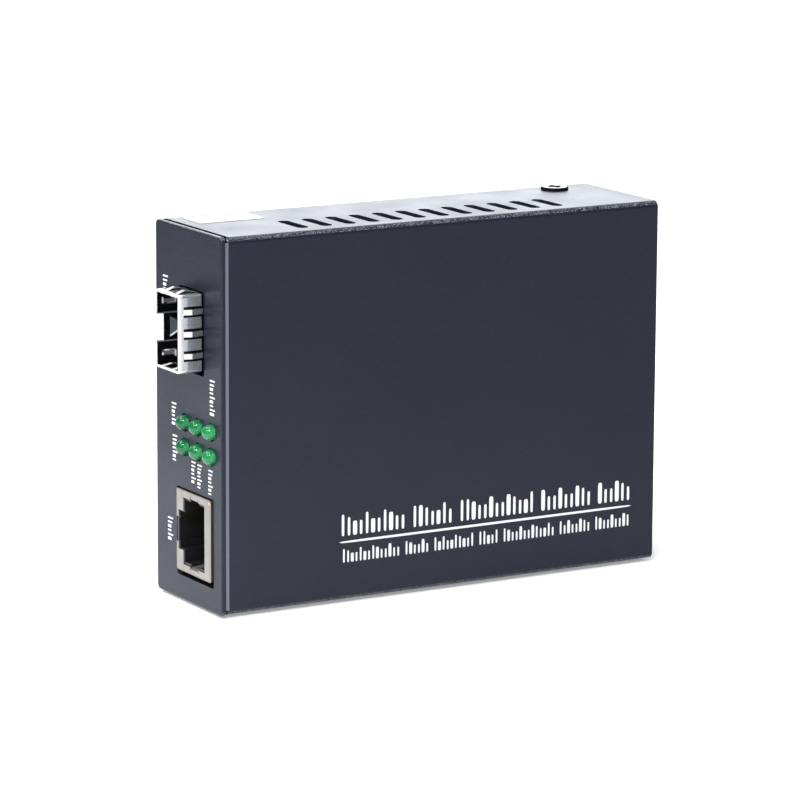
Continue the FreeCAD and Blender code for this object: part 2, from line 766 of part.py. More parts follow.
def sfp_spring_collar():
    """One sprung strip wrapped round the mouth, with narrow springs between broad fingers."""
    skin = collar_gap + collar_skin
    strip = around_cage(-cage_reveal, -collar_tail_gap, skin)
    mouth = soft_box((-cage_reveal - past, cage_front), (cage_near + lip_depth, cage_far - lip_depth),
                     (cage_low + lip_depth, cage_high - lip_depth), cage_corner / 2, "x")
    band_end = collar_band - cage_reveal
    gap = box((band_end, past), span(0, spring_width + 2 * spring_slit), (-cage_corner, past))
    places = [("near", spring_pitch * step) for step in (-1, 0, 1)]
    places += [("far", spring_pitch * step) for step in (-1, 1)]
    places += [(side, spring_pitch * step) for side in ("above", "below") for step in (-0.5, 0.5)]
    tongue_gap = box((-cage_reveal - past, past), (cage_far - past, cage_far + past),
                     span(cage_z, tongue_width + 2 * (tongue_slit + collar_skin)))
    cuts = [around_cage(cage_front, past, collar_gap), mouth, tongue_gap]
    cuts += [cage_side(gap, side, along) for side, along in places]
    springs = [cage_side(outer_spring(), side, along) for side, along in places]
    springs += [cage_side(inner_spring(), side, along)
                for side in ("above", "below") for along in (-spring_pitch / 2, spring_pitch / 2)]
    return fuse([carve(strip, cuts)] + springs)


def sfp_connector():
    """The 20-way host connector inside the cage, its card slot facing the mouth."""
    block = soft_box((host_front, host_rear), (cage_y - host_rise, board_face),
                     span(cage_z, host_width), host_corner, "x")
    inside = span(cage_z, host_width - 2 * host_wall)
    slot = box((host_front - past, host_front + host_slot_depth), span(cage_y, host_slot), inside)
    peg = rod((host_front + host_peg_x, board_face, cage_z - host_peg_pitch / 2), host_peg_radius,
              board_thickness, "y")
    bay = box((host_front + host_slot_depth, host_rear + past),
              (board_face - host_tail_rise - host_tail_skin - host_tail_gap, board_face + past), inside)
    return fuse([carve(block, [slot, bay]), peg, peg.mirror(V(0, 0, cage_z), AXES["z"])])


def sfp_connector_contacts():
    """Ten solder tails on the board behind the host connector."""
    bend, landing, toe = [host_rear + run for run in host_tail_bend]
    raised = board_face - host_tail_rise
    path = [(host_front + host_slot_depth + host_tail_start, raised), (bend, raised),
            (landing, board_face), (toe, board_face)]
    places = [cage_z + host_pitch * (index - (host_contact_count - 1) / 2)
              for index in range(host_contact_count)]
    return [folded(path, host_tail_skin, 1.5 * host_tail_skin, "xy", *span(z, host_pitch / 2))
            for z in places]


# ---- Indicators ----
def led(y, z):
    """A domed 3 mm lamp: dome, barrel and rim."""
    tip = -led_reveal
    centre = tip + led_radius
    rim = tip + led_barrel
    return fuse([Part.makeSphere(led_radius, V(centre, y, z)),
                 rod((centre, y, z), led_radius, rim - centre, "x"),
                 rod((rim, y, z), led_rim_radius, led_rim, "x")])


def led_lead_places():
    """Each lead: where it bends to the board, its lamp's y, and its z."""
    bends = {y: lead_first_x + lead_row_pitch * (led_rows - 1 - round((y - led_first_y) / led_pitch))
             for y, _ in led_places}
    return [(bends[y], y, z + side) for y, z in led_places
            for side in (-led_lead_pitch / 2, led_lead_pitch / 2)]


def led_leads():
    """Twelve square leads, straight back from the rims and then down through the board."""
    start = led_barrel + led_rim - led_reveal
    half = lead_width / 2
    return [folded([(start, y + half), (bend - half, y + half), (bend - half, board_back + lead_tail)],
                   lead_width, 1.4 * lead_width, "xy", *span(z, lead_width))
            for bend, y, z in led_lead_places()]


def lead_holes():
    """Round holes for the lamps' leads and their holder's pegs."""
    leads = [(bend, z, lead_width * lead_drill) for bend, y, z in led_lead_places()]
    return leads + [(holder_peg_x, z, holder_peg_radius) for z in holder_peg_z]


def led_holder():
    """The black moulding that holds the lamps in line: a bored front and two sloping cheeks."""
    near = led_first_y - led_rim_radius - holder_side / 2
    back = holder_front + holder_wall
    front = box((holder_front, back), (near, board_face), (holder_low, holder_high))
    bores = [rod((holder_front - past, y, z), led_radius + holder_gap, holder_wall + 2 * past, "x")
             for y, z in led_places]
    rims = [rod((led_barrel - led_reveal - holder_gap, y, z), led_rim_radius + holder_gap, holder_wall, "x")
            for y, z in led_places]
    lap, heel = back - holder_lap, holder_front + holder_length
    outline = [(lap, near), (back + holder_shoulder, near), (heel, board_face - holder_heel),
               (heel, board_face), (lap, board_face)]
    cheeks = [prism(outline, "xy", *zs) for zs in ((holder_low, holder_low + holder_side),
                                                   (holder_high - holder_side, holder_high))]
    pegs = [rod((holder_peg_x, board_face, z), holder_peg_radius, board_thickness, "y") for z in holder_peg_z]
    return fuse([carve(front, bores + rims)] + cheeks + pegs)


# ---- Power inlet ----
def dc_jack_housing():
    """The moulded barrel socket: a square nose, a round-backed body and slots for its tags."""
    near = board_face - inlet_height
    nose = soft_box((inlet_nose - inlet_flange, inlet_nose), (near, board_face),
                    span(inlet_z, inlet_width), inlet_corner, "x")
    body = [rod((inlet_front, inlet_y, inlet_z), inlet_body_radius, inlet_length - inlet_flange, "x"),
            box((inlet_front, inlet_nose - inlet_flange), (inlet_y, board_face),
                span(inlet_z, 2 * inlet_body_radius))]
    bore = rod((inlet_nose, inlet_y, inlet_z), inlet_bore_radius, -inlet_bore_depth, "x")
    shank = rod((inlet_front - past, inlet_y, inlet_z), inlet_stem_radius, inlet_length, "x")
    tags = [box(span(x, tag_skin + 2 * tag_gap), (inlet_y, board_face + past),
                span(z, tag_width + 2 * tag_gap)) for x, z in inlet_tags[1:]]
    return carve(fuse([nose] + body), [bore, shank] + tags)


def dc_jack_pin():
    """The centre pin: a round tip set back from the nose, and a shank riveted through the rear tag."""
    floor = inlet_nose - inlet_bore_depth
    pin = rod((floor, inlet_y, inlet_z), inlet_pin_radius, inlet_bore_depth - inlet_pin_setback, "x")
    tip = [edge for edge in pin.Edges if edge.Closed and edge.CenterOfMass.x > floor + past]
    shank = rod((inlet_front - tag_skin, inlet_y, inlet_z), inlet_stem_radius,
                floor - inlet_front + tag_skin, "x")
    return fuse([pin.makeFillet(inlet_tip_round, tip), shank])


def dc_jack_terminals():
    """The tag riveted on the pin, and the sleeve contact and switch tags, down through the board."""
    start = (inlet_front - tag_skin, inlet_y, inlet_z)
    eye = rod(start, inlet_eye_radius, tag_skin, "x")
    tail = box((inlet_front - tag_skin, inlet_front), (inlet_y, board_back + lead_tail),
               span(inlet_z, tag_width))
    rear = carve(fuse([eye, tail]), [rod(start, inlet_stem_radius, tag_skin, "x")])
    tags = [box(span(x, tag_skin), (inlet_y + inlet_bore_radius + tag_step, board_back + lead_tail),
                span(z, tag_width)) for x, z in inlet_tags[1:]]
    return [rear] + tags


def tab_slots():
    """Slots in the board: x, z, length along X and width along Z."""
    legs = [(jack_leg_x, z, jack_leg, jack_skin)
            for z in (jack_low + jack_skin / 2, jack_high - jack_skin / 2)]
    return legs + cage_legs() + [(x, z, tag_skin, tag_width) for x, z in inlet_tags]


# ---- Parts on the board ----
def on_board(x, z, size, rise=0.0):
    """A block on the component side: its middle, its sizes along X and Z and off the board, and a gap."""
    length, width, height = size
    return box(span(x, length), (board_face - rise - height, board_face - rise), span(z, width))


def winged_package(place, size, count, pitch, both_ways=False):
    """A moulded package with gull-wing leads along X, or along both ways."""
    (x, z), (length, width, height) = place, size
    top = board_face - chip_rise - height
    body = on_board(x, z, size, rise=chip_rise)
    body = body.makeFillet(height * chip_edge, [edge for edge in body.Edges if edge.BoundBox.YMax < top + 1e-6])
    shapes = [body]
    rows = [(AXES["x"], AXES["z"], width)] + ([(AXES["z"], AXES["x"], length)] if both_ways else [])
    for along, out, reach in rows:
        for index in range(count):
            for side in (-1, 1):
                root = V(x, 0, z) + along * (pitch * (index - (count - 1) / 2)) + out * (side * reach / 2)
                foot = root + out * (side * chip_foot)
                half = along * (pitch * chip_lead_share / 2)
                low = V(min(root.x, foot.x), 0, min(root.z, foot.z)) - half
                high = V(max(root.x, foot.x), 0, max(root.z, foot.z)) + half
                lead_height = (board_face - chip_rise - chip_lead, board_face)
                shapes.append(box((low.x, high.x), lead_height, (low.z, high.z)))
    return fuse(shapes)


def converter_chip():
    size = (converter_width, converter_width, converter_height)
    return winged_package(converter_place, size, converter_lead_count, converter_lead_pitch, both_ways=True)


def memory_chip():
    return winged_package(memory_place, memory_size, memory_lead_count, memory_lead_pitch)


def lan_transformer():
    return winged_package(transformer_place, transformer_size, transformer_lead_count, transformer_lead_pitch)


def through_lead(x, z):
    """A round lead from inside its part through the board."""
    return rod((x, board_face - lead_seat, z), can_lead_radius, board_thickness + lead_tail, "y")


def clock_crystal():
    """A flat metal can with round ends, on two leads."""
    half = crystal_width / 2
    x, z = crystal_place
    middle = on_board(x, z, (crystal_length - crystal_width, crystal_width, crystal_height))
    ends = [rod((x + side * (crystal_length / 2 - half), board_face, z), half, -crystal_height, "y")
            for side in (-1, 1)]
    leads = [through_lead(x + side * crystal_lead_pitch / 2, z) for side in (-1, 1)]
    return fuse([middle] + ends + leads)


def voltage_regulator():
    """A power package with its heat tab and three leads on the board."""
    x, z = regulator_place
    body = on_board(x, z, regulator_size, rise=chip_rise)
    tab = on_board(x + regulator_tab_x, z, regulator_tab + (regulator_skin,))
    leads = [on_board(x - regulator_lead_x, z + regulator_pitch * step, regulator_lead + (regulator_skin,))
             for step in (-1, 0, 1)]
    return fuse([body, tab] + leads)


def power_inductor():
    """A shielded inductor: a square ferrite drum with a shallow round well."""
    x, z = inductor_place
    top = board_face - inductor_height
    body = soft_box(span(x, inductor_width), (top, board_face), span(z, inductor_width), inductor_corner, "y")
    radius, depth = inductor_well
    return carve(body, [rod((x, top, z), radius, depth, "y")])


def electrolytic_capacitors():
    """Rolled-neck aluminium cans on two leads each."""
    solids = []
    for x, z in can_places:
        can = rod((x, board_face, z), can_radius, -can_height, "y")
        neck = rod((x, board_face - can_neck_rise, z), can_radius + past, -can_neck, "y")
        core = rod((x, board_face - can_neck_rise, z), can_radius - can_neck_depth, -can_neck, "y")
        leads = [through_lead(x + side * can_lead_pitch / 2, z) for side in (-1, 1)]
        solids.append(fuse([carve(can, [carve(neck, [core])])] + leads))
    return solids


def can_holes():
    places = [(x + side * can_lead_pitch / 2, z, can_lead_radius) for x, z in can_places for side in (-1, 1)]
    x, z = crystal_place
    places += [(x + side * crystal_lead_pitch / 2, z, can_lead_radius) for side in (-1, 1)]
    return places + [(host_front + host_peg_x, cage_z + side * host_peg_pitch / 2, host_peg_radius)
                     for side in (-1, 1)]


def chip_capacitors():
    """Decoupling capacitors in a row on each side of the converter chip, and by the regulator."""
    first, pitch, count = capacitor_row
    rows = [(first + pitch * index, z) for index in range(count) for z in capacitor_z]
    return [on_board(x, z, capacitor_size) for x, z in rows + list(capacitor_pair)]


def chip_resistors():
    """Resistors between the transformer and the converter chip, and behind the lamps."""
    return [on_board(x, first + pitch * index, resistor_size)
            for x, first, pitch, count in resistor_rows for index in range(count)]


def seal_label():
    """A blank paper seal on the upper side wall."""
    return soft_box(label_x, label_y, (case_height, case_height + label_skin), label_corner, "z")


def nodes():
    """Every node's name with its solid or solids."""
    yield "base_chassis", [base_chassis()]
    yield "top_cover", [top_cover()]
    yield "cover_screws", cover_screws()
    yield "board_standoffs", board_standoffs()
    yield "board_screws", board_screws()
    yield "circuit_board", [circuit_board()]
    yield "rj45_shield", [rj45_shield()]
    yield "rj45_housing", [rj45_housing()]
    yield "rj45_contacts", rj45_contacts()
    yield "sfp_cage", [sfp_cage()]
    yield "sfp_spring_collar", [sfp_spring_collar()]
    yield "sfp_connector", [sfp_connector()]
    yield "sfp_connector_contacts", sfp_connector_contacts()
    for index, (y, z) in enumerate(led_places):
        yield f"led_{index + 1}", [led(y, z)]
    yield "led_leads", led_leads()
    yield "led_holder", [led_holder()]
    yield "dc_jack_housing", [dc_jack_housing()]
    yield "dc_jack_pin", [dc_jack_pin()]
    yield "dc_jack_terminals", dc_jack_terminals()
    yield "lan_transformer", [lan_transformer()]
    yield "converter_chip", [converter_chip()]
    yield "memory_chip", [memory_chip()]
    yield "clock_crystal", [clock_crystal()]
    yield "voltage_regulator", [voltage_regulator()]
    yield "power_inductor", [power_inductor()]
    yield "electrolytic_capacitors", electrolytic_capacitors()
    yield "chip_capacitors", chip_capacitors()
    yield "chip_resistors", chip_resistors()
    yield "seal_label", [seal_label()]


os.makedirs("parts", exist_ok=True)
for name, solids in nodes():
    shape = solids[0] if len(solids) == 1 else Part.makeCompound(solids)
    shape.translate(-footprint)
    shape.exportStep(f"parts/{name}.step")
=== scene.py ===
import math

import bmesh
import bpy
import numpy as np
from bpy.props import FloatProperty, FloatVectorProperty, PointerProperty
from mathutils import Matrix, Vector


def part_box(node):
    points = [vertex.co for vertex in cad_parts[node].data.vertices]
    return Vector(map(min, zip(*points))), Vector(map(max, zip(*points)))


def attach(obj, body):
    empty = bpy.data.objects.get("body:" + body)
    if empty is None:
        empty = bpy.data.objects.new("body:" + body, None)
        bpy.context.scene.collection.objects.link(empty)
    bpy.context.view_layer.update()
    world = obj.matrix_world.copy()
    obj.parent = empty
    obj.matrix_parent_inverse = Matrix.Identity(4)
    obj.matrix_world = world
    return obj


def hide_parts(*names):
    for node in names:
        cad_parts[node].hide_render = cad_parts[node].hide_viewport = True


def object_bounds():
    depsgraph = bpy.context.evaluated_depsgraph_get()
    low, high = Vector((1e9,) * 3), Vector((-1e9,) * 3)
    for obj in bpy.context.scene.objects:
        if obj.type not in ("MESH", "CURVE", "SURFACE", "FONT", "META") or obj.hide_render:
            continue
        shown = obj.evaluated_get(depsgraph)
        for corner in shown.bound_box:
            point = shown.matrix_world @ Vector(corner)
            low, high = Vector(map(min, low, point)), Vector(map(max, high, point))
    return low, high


# Finishes, print, lamps, solder and a studio for a fibre media converter in a folded steel case. The
# converter stands on its long narrow side: the printed face looks along -Y, the port panel along -X,
# and a vented side wall lies on top.

bl_info = {
    "name": "Fibre media converter",
    "version": (1, 0, 0),
    "blender": (4, 5, 0),
    "location": "3D View > Sidebar > Converter",
    "description": "Finishes, print, lamps, solder and studio of a fibre media converter",
    "category": "Object",
}

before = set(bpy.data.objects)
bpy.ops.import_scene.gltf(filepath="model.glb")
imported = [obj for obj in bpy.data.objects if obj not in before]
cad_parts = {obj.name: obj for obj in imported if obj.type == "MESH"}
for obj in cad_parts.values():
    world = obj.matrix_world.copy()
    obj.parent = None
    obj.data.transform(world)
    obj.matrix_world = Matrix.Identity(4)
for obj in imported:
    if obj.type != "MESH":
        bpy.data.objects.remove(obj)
cad_low, cad_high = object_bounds()
MM = 0.001


# ---- Sizes and colours that a user would change ----
def colour(name, description, default):
    """A linear colour."""
    return FloatVectorProperty(name=name, description=description, default=default, size=3,
                               subtype="COLOR", min=0.0, max=1.0)


def length(name, description, default):
    """A length in metres."""
    return FloatProperty(name=name, description=description, default=default, min=0.0,
                         subtype="DISTANCE", unit="LENGTH")


def share(name, description, default, top=1.0):
    """A plain number from nought."""
    return FloatProperty(name=name, description=description, default=default, min=0.0, max=top)


def angle(name, description, degrees):
    """An angle, given in degrees."""
    return FloatProperty(name=name, description=description, default=math.radians(degrees),
                         subtype="ANGLE", unit="ROTATION")


class CaseSettings(bpy.types.PropertyGroup):
    """Paint, print and label of the case."""
    paint: colour("Paint", "Powder coat of the case", (0.0102, 0.0124, 0.0232))
    paint_roughness: share("Paint roughness", "Gloss of the powder coat", 0.4)
    paint_grain: length("Paint grain", "Size of the powder coat's texture", 0.42 * MM)
    # Pale specks along the folds: wear and painted highlight
    worn: colour("Worn paint", "Specks of wear along the folds", (0.4, 0.41, 0.45))
    screw: colour("Screws", "Blackened cover screws", (0.008, 0.008, 0.009))
    ink: colour("Ink", "White ink of the print", (0.84, 0.85, 0.86))
    ink_thickness: length("Ink thickness", "How far the print stands off the paint", 0.02 * MM)
    label: colour("Seal label", "Blank paper seal", (0.62, 0.67, 0.62))


class PortSettings(bpy.types.PropertyGroup):
    """Metals, mouldings and lamps of the ports."""
    shield: colour("Jack shield", "Nickel skin of the copper jack", (0.335, 0.3, 0.265))
    # Painted shade along the rim of the shell's face, warmer in tint
    rim: colour("Jack rim", "Rim of the copper jack's shell", (0.16, 0.115, 0.07))
    cage: colour("Cage", "Plated steel of the transceiver cage", (0.66, 0.66, 0.64))
    spring: colour("Spring collar", "Tinned strip round the cage's mouth", (0.6, 0.61, 0.63))
    # Burnish and painted highlight on the collar's lip and on faces towards the mouth
    worn: colour("Bright wear", "Spring collar where it is burnished", (0.74, 0.715, 0.685))
    contact: colour("Contacts", "Gold flash of the contact wires", (0.78, 0.55, 0.18))
    moulding: colour("Mouldings", "Black moulded inserts and sockets", (0.008, 0.008, 0.009))
    lamp: colour("Lamps", "Green tinted resin of the lamps", (0.035, 0.5, 0.16))
    # Painted shade: how dark the cage is under its spring collar
    collar_shade: share("Tarnish", "Shade of the cage under its spring collar", 0.03)
    pin: colour("Inlet pin", "Bright plating of the inlet's pin", (0.72, 0.71, 0.68))


class BoardSettings(bpy.types.PropertyGroup):
    """Finishes of the circuit board and what it carries."""
    mask: colour("Solder mask", "Green mask over the board", (0.012, 0.13, 0.045))
    track: colour("Tracks", "Mask where copper lies under it", (0.03, 0.22, 0.08))
    tin: colour("Tin", "Leads, tags and solder", (0.68, 0.67, 0.64))
    zinc: colour("Zinc", "Standoffs and board screws", (0.6, 0.61, 0.6))
    resin: colour("Packages", "Moulded black packages", (0.02, 0.02, 0.022))
    can: colour("Cans", "Drawn cans of capacitors and crystal", (0.74, 0.74, 0.75))
    ferrite: colour("Ferrite", "Drum of the power inductor", (0.05, 0.047, 0.045))
    ceramic: colour("Ceramic", "Bodies of the chip capacitors", (0.36, 0.24, 0.13))
    resistor: colour("Resistors", "Glaze of the chip resistors", (0.02, 0.02, 0.025))
    solder_height: length("Solder height", "Height of a solder cone on a lead", 0.9 * MM)
    solder_radius: length("Solder radius", "Radius of a solder cone on the board", 0.85 * MM)


class StageSettings(bpy.types.PropertyGroup):
    """Floor, lights and camera."""
    floor: colour("Floor", "Plain pale floor", (0.86, 0.86, 0.86))
    glint: colour("Reflections", "Tint of what glossy surfaces see of the studio", (0.9, 0.94, 1.0))
    floor_size: length("Floor size", "Side of the floor", 5.6)
    backdrop: share("Backdrop", "White that the camera sees", 1.0, 2.0)
    room: share("Room", "What glossy surfaces see of the floor", 0.7, 2.0)
    ceiling: share("Ceiling", "What glossy surfaces see above the floor", 0.08, 2.0)
    screen: share("Screen", "White screen behind, as glossy surfaces see it", 4.6, 8.0)
    # Strength of the painted pools of light on the floor
    sweep: share("Sweep", "How much more glossy surfaces see of the lit patches of floor", 1.05, 4.0)
    ambient: share("Ambient", "Soft light from all round", 0.62, 4.0)
    key: share("Key", "Power of the overhead soft box in watts", 9.0, 200.0)
    fill: share("Fill", "Power of the soft box at the front in watts", 9.0, 200.0)
    side: share("Side", "Power of the soft box at the port panel's side in watts", 5.0, 200.0)
    spark: share("Spark", "Power of the small lamp beside the camera in watts", 0.5, 50.0)
    lens: share("Lens", "Focal length in millimetres", 193.49, 1000.0)
    heading: angle("Heading", "Turn of the camera about Z", -30.334)
    height_angle: angle("Height angle", "How far the camera looks down", 11.394)
    roll: angle("Roll", "Turn of the camera about its view", 0.31)
    place: FloatVectorProperty(name="Place", description="Where the camera stands", size=3,
                               default=(-0.405085, -0.692975, 0.19644), subtype="TRANSLATION",
                               unit="LENGTH")


class ConverterSettings(bpy.types.PropertyGroup):
    """All the settings of the converter."""
    case: PointerProperty(type=CaseSettings)
    port: PointerProperty(type=PortSettings)
    board: PointerProperty(type=BoardSettings)
    stage: PointerProperty(type=StageSettings)


def settings():
    return bpy.context.scene.converter


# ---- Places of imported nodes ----
def corners(name):
    """The low and the high corner of a node's box."""
    return [np.array(corner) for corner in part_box(name)]


def middle(name):
    """The centre of a node's box."""
    low, high = corners(name)
    return (low + high) / 2


def panel_face():
    """Where the port panel's painted face stands along X."""
    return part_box("base_chassis")[0][0]


def add_object(name, data):
    """Puts an object on the scene."""
    made = bpy.data.objects.new(name, data)
    bpy.context.scene.collection.objects.link(made)
    return made


# ---- Mesh tools ----
def add_piece(name, points, faces, slot, material, smooth=True):
    """Makes a mesh piece from an array of points and lists of faces, closes its seams, turns its faces
    outwards, and lets it ride on the converter."""
    mesh = bpy.data.meshes.new(name)
    mesh.from_pydata(np.asarray(points).reshape(-1, 3).tolist(), [], faces)
    work = bmesh.new()
    work.from_mesh(mesh)
    bmesh.ops.remove_doubles(work, verts=work.verts, dist=1e-7)
    bmesh.ops.recalc_face_normals(work, faces=work.faces)
    work.to_mesh(mesh)
    work.free()
    mesh.polygons.foreach_set("use_smooth", np.full(len(mesh.polygons), smooth))
    mesh.materials.append(material)
    piece = add_object(name, mesh)
    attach(piece, "root")
    return piece


def ring_faces(rows, columns):
    """The quads of a grid of points that is rows by columns, closed along its columns."""
    index = np.arange(rows * columns).reshape(rows, columns)
    index = np.hstack([index, index[:, :1]])
    quads = np.stack([index[:-1, :-1], index[:-1, 1:], index[1:, 1:], index[1:, :-1]], -1)
    return quads.reshape(-1, 4).tolist()


def joined(grids):
    """Several (points, faces) pairs as one."""
    points, faces, first = [], [], 0
    for some, quads in grids:
        some = np.asarray(some).reshape(-1, 3)
        points.append(some)
        faces += [[corner + first for corner in face] for face in quads]
        first += len(some)
    return np.vstack(points), faces


def lathe(profile, centre, axis, steps):
    """A surface of revolution: a profile of (distance along the axis, radius) turned about the axis
    through the centre; point (i, j) is centre + along_i * axis + radius_i * (cos a_j, sin a_j) in the
    two other axes. A radius of nought closes the end."""
    along, radius = np.asarray(profile, float).T
    turn = np.linspace(0, 2 * np.pi, steps, endpoint=False)
    points = np.zeros((len(along), steps, 3))
    points[..., axis] = along[:, None]
    points[..., (axis + 1) % 3] = radius[:, None] * np.cos(turn)
    points[..., (axis + 2) % 3] = radius[:, None] * np.sin(turn)
    return points + np.asarray(centre), ring_faces(len(along), steps)


def slab(low, high):
    """A thin plate with square edges between two corners."""
    points = np.array(np.meshgrid(*zip(low, high), indexing="ij")).reshape(3, -1).T
    return points, [[0, 1, 3, 2], [4, 6, 7, 5], [0, 4, 5, 1], [2, 3, 7, 6], [0, 2, 6, 4], [1, 5, 7, 3]]


def soft_outline(squareness=5.0, steps=20):
    """A closed outline with soft corners: the superellipse |u| ** n + |v| ** n = 1, counter-clockwise."""
    turn = np.linspace(0, 2 * np.pi, steps, endpoint=False)
    way = np.stack([np.cos(turn), np.sin(turn)], -1)
    return np.sign(way) * np.abs(way) ** (2 / squareness)


def plates(centres, sizes, origin, u_axis, v_axis, thickness):
    """Flat soft-cornered plates on a plane: the unit outline scaled to each size and moved to each
    centre in (u, v), once on the plane and once a thickness above it along u cross v."""
    unit = soft_outline()
    flat = np.asarray(centres)[:, None] + unit * np.asarray(sizes)[:, None] / 2
    u_axis, v_axis = np.asarray(u_axis, float), np.asarray(v_axis, float)
    low = np.asarray(origin) + flat[..., :1] * u_axis + flat[..., 1:] * v_axis
    high = low + np.cross(u_axis, v_axis) * thickness
    count, steps = len(flat), len(unit)
    first = np.arange(count)[:, None] * 2 * steps
    ring = np.arange(steps)
    after = np.roll(ring, -1)
    tops = (first + ring + steps).tolist()
    bottoms = (first + ring[::-1]).tolist()
    rims = first[..., None] + np.stack([ring, after, after + steps, ring + steps], -1)
    return np.stack([low, high], 1), tops + bottoms + rims.reshape(-1, 4).tolist()


BAR_HEIGHTS = np.array([1.0, 0.66, 0.66, 0.86, 0.66, 1.0, 0.66])  # shares of the row's height
BAR_WIDTHS = np.array([0.42, 0.66, 0.42, 0.42, 0.7, 0.42])  # shares of the pitch


def bar_rows(words, start, end, height):
    """Words of upright bars in place of lettering, which fill a length. The bars of word w are counted
    in words[w]. Bar i stands i pitches into its word, one pitch of gap stands between words, and
    heights and widths run through short rhythms."""
    pitch = (end - start) / (sum(words) + len(words) - 1)
    centres, sizes, place, first = [], [], start, 0
    for count in words:
        steps = np.arange(count)
        shares = BAR_HEIGHTS[(first + 3 * steps) % len(BAR_HEIGHTS)]
        tall = np.where(steps == 0, 1.0, shares) * height
        wide = BAR_WIDTHS[(first + 2 * steps) % len(BAR_WIDTHS)] * pitch
        centres.append(np.stack([place + pitch * (steps + 0.5), tall / 2], -1))
        sizes.append(np.stack([wide, tall], -1))
        place += pitch * (count + 1)
        first += count
    return np.vstack(centres), np.vstack(sizes)


# ---- Shader tools ----
def add_node(tree, kind, inputs=None, **settings):
    """Adds a shader node. An input takes a plain value or another node's output."""
    made = tree.nodes.new("ShaderNode" + kind)
    for name, value in settings.items():
        setattr(made, name, value)
    for name, value in (inputs or {}).items():
        if isinstance(value, bpy.types.NodeSocket):
            tree.links.new(value, made.inputs[name])
        else:
            made.inputs[name].default_value = value
    return made


def maths(tree, operation, *values):
    """The result of a Math node."""
    return add_node(tree, "Math", dict(enumerate(values)), operation=operation).outputs[0]


def times(tree, first, second):
    """The product of two numbers."""
    return maths(tree, "MULTIPLY", first, second)


def vectors(tree, operation, first, second):
    """The result of a Vector Math node: a number for a distance or a dot product, else a vector."""
    made = add_node(tree, "VectorMath", {0: first, 1: second}, operation=operation)
    return made.outputs["Value" if operation in ("DISTANCE", "DOT_PRODUCT") else "Vector"]


def axes(tree, vector):
    """The X, Y and Z outputs of a vector."""
    return add_node(tree, "SeparateXYZ", {0: vector}).outputs


def normal(tree):
    """The way that the surface faces."""
    return add_node(tree, "NewGeometry").outputs["Normal"]


def away_from(tree, coordinate, centre):
    """How far a coordinate is from a centre, on either side."""
    return maths(tree, "ABSOLUTE", maths(tree, "SUBTRACT", coordinate, centre))


def blend(tree, factor, first, second):
    """A mix of two numbers, which may be plain or sockets."""
    return add_node(tree, "Mix", {0: factor, 2: first, 3: second}).outputs[0]


def blend_colours(tree, factor, first, second):
    """A mix of two colours, which may be plain or sockets."""
    first, second = (shade if isinstance(shade, bpy.types.NodeSocket) else (*shade, 1.0)
                     for shade in (first, second))
    return add_node(tree, "Mix", {0: factor, 6: first, 7: second}, data_type="RGBA").outputs[2]


def ramp(tree, value, low, high, to_low=0.0, to_high=1.0, smooth=True):
    """A value carried from one range to another and held at its ends."""
    made = add_node(tree, "MapRange", {"Value": value, "From Min": low, "From Max": high,
                                       "To Min": to_low, "To Max": to_high},
                    interpolation_type="SMOOTHSTEP" if smooth else "LINEAR")
    return made.outputs["Result"]


def noise(tree, vector, scale, detail, **more):
    """The value of a fractal noise."""
    made = add_node(tree, "TexNoise", {"Vector": vector, "Scale": scale, "Detail": detail, **more})
    return made.outputs["Fac"]


def build_grain(tree, given):
    """Rounded cells with a softer noise over them, and the few flecks that stand highest."""
    scale = maths(tree, "DIVIDE", 1.0, given["Size"])
    cells = add_node(tree, "TexVoronoi", {"Vector": given["Vector"], "Scale": scale},
                     feature="SMOOTH_F1")
    soft = noise(tree, given["Vector"], times(tree, scale, 0.6), 3.0)
    height = maths(tree, "ADD", times(tree, cells.outputs["Distance"], -0.6), soft)
    return {"Height": height, "Fleck": ramp(tree, soft, 0.62, 0.78)}


def build_cloud(tree, given):
    """Slow changes over a surface, from the low value to the high one."""
    slow = noise(tree, given["Vector"], maths(tree, "DIVIDE", 1.0, given["Size"]), 3.0)
    return {"Value": ramp(tree, slow, 0.3, 0.7, given["Low"], given["High"], smooth=False)}


def build_rolled(tree, given):
    """Fine lines of rolled or drawn metal: a noise stretched by the Stretch vector."""
    stretched = vectors(tree, "MULTIPLY", given["Vector"], given["Stretch"])
    lines = noise(tree, stretched, 1.0, 4.0, Roughness=0.65)
    return {"Height": lines, "Line": ramp(tree, lines, 0.35, 0.7)}


def build_wear_and_highlight(tree, given):
    """Specks of a fine noise, only where the surface turns: its normal's largest part is well below one. They
    are wear and painted highlight, strongest on the folds that also lean up or down."""
    way = axes(tree, normal(tree))
    parts = [maths(tree, "ABSOLUTE", way[axis]) for axis in "XYZ"]
    most = maths(tree, "MAXIMUM", maths(tree, "MAXIMUM", parts[0], parts[1]), parts[2])
    turned = times(tree, ramp(tree, most, 0.84, 0.96, 1.0, 0.0),
                   ramp(tree, parts[2], 0.1, 0.5, 0.15, 1.0))
    specks = noise(tree, given["Vector"], maths(tree, "DIVIDE", 1.0, given["Size"]), 2.0)
    return {"Wear": times(tree, turned, ramp(tree, specks, 0.5, 0.62, 0.0, 0.55))}


# Node groups: their inputs beside Vector with the values they start from, their outputs and their builder
EFFECTS = {
    "Surface grain": ({"Size": 0.0004}, ("Height", "Fleck"), build_grain),
    "Slow change": ({"Size": 0.02, "Low": 0.0, "High": 1.0}, ("Value",), build_cloud),
    "Rolled metal": ({"Stretch": (900.0, 900.0, 60.0)}, ("Height", "Line"), build_rolled),
    "Wear on folds": ({"Size": 0.0003}, ("Wear",), build_wear_and_highlight),
}


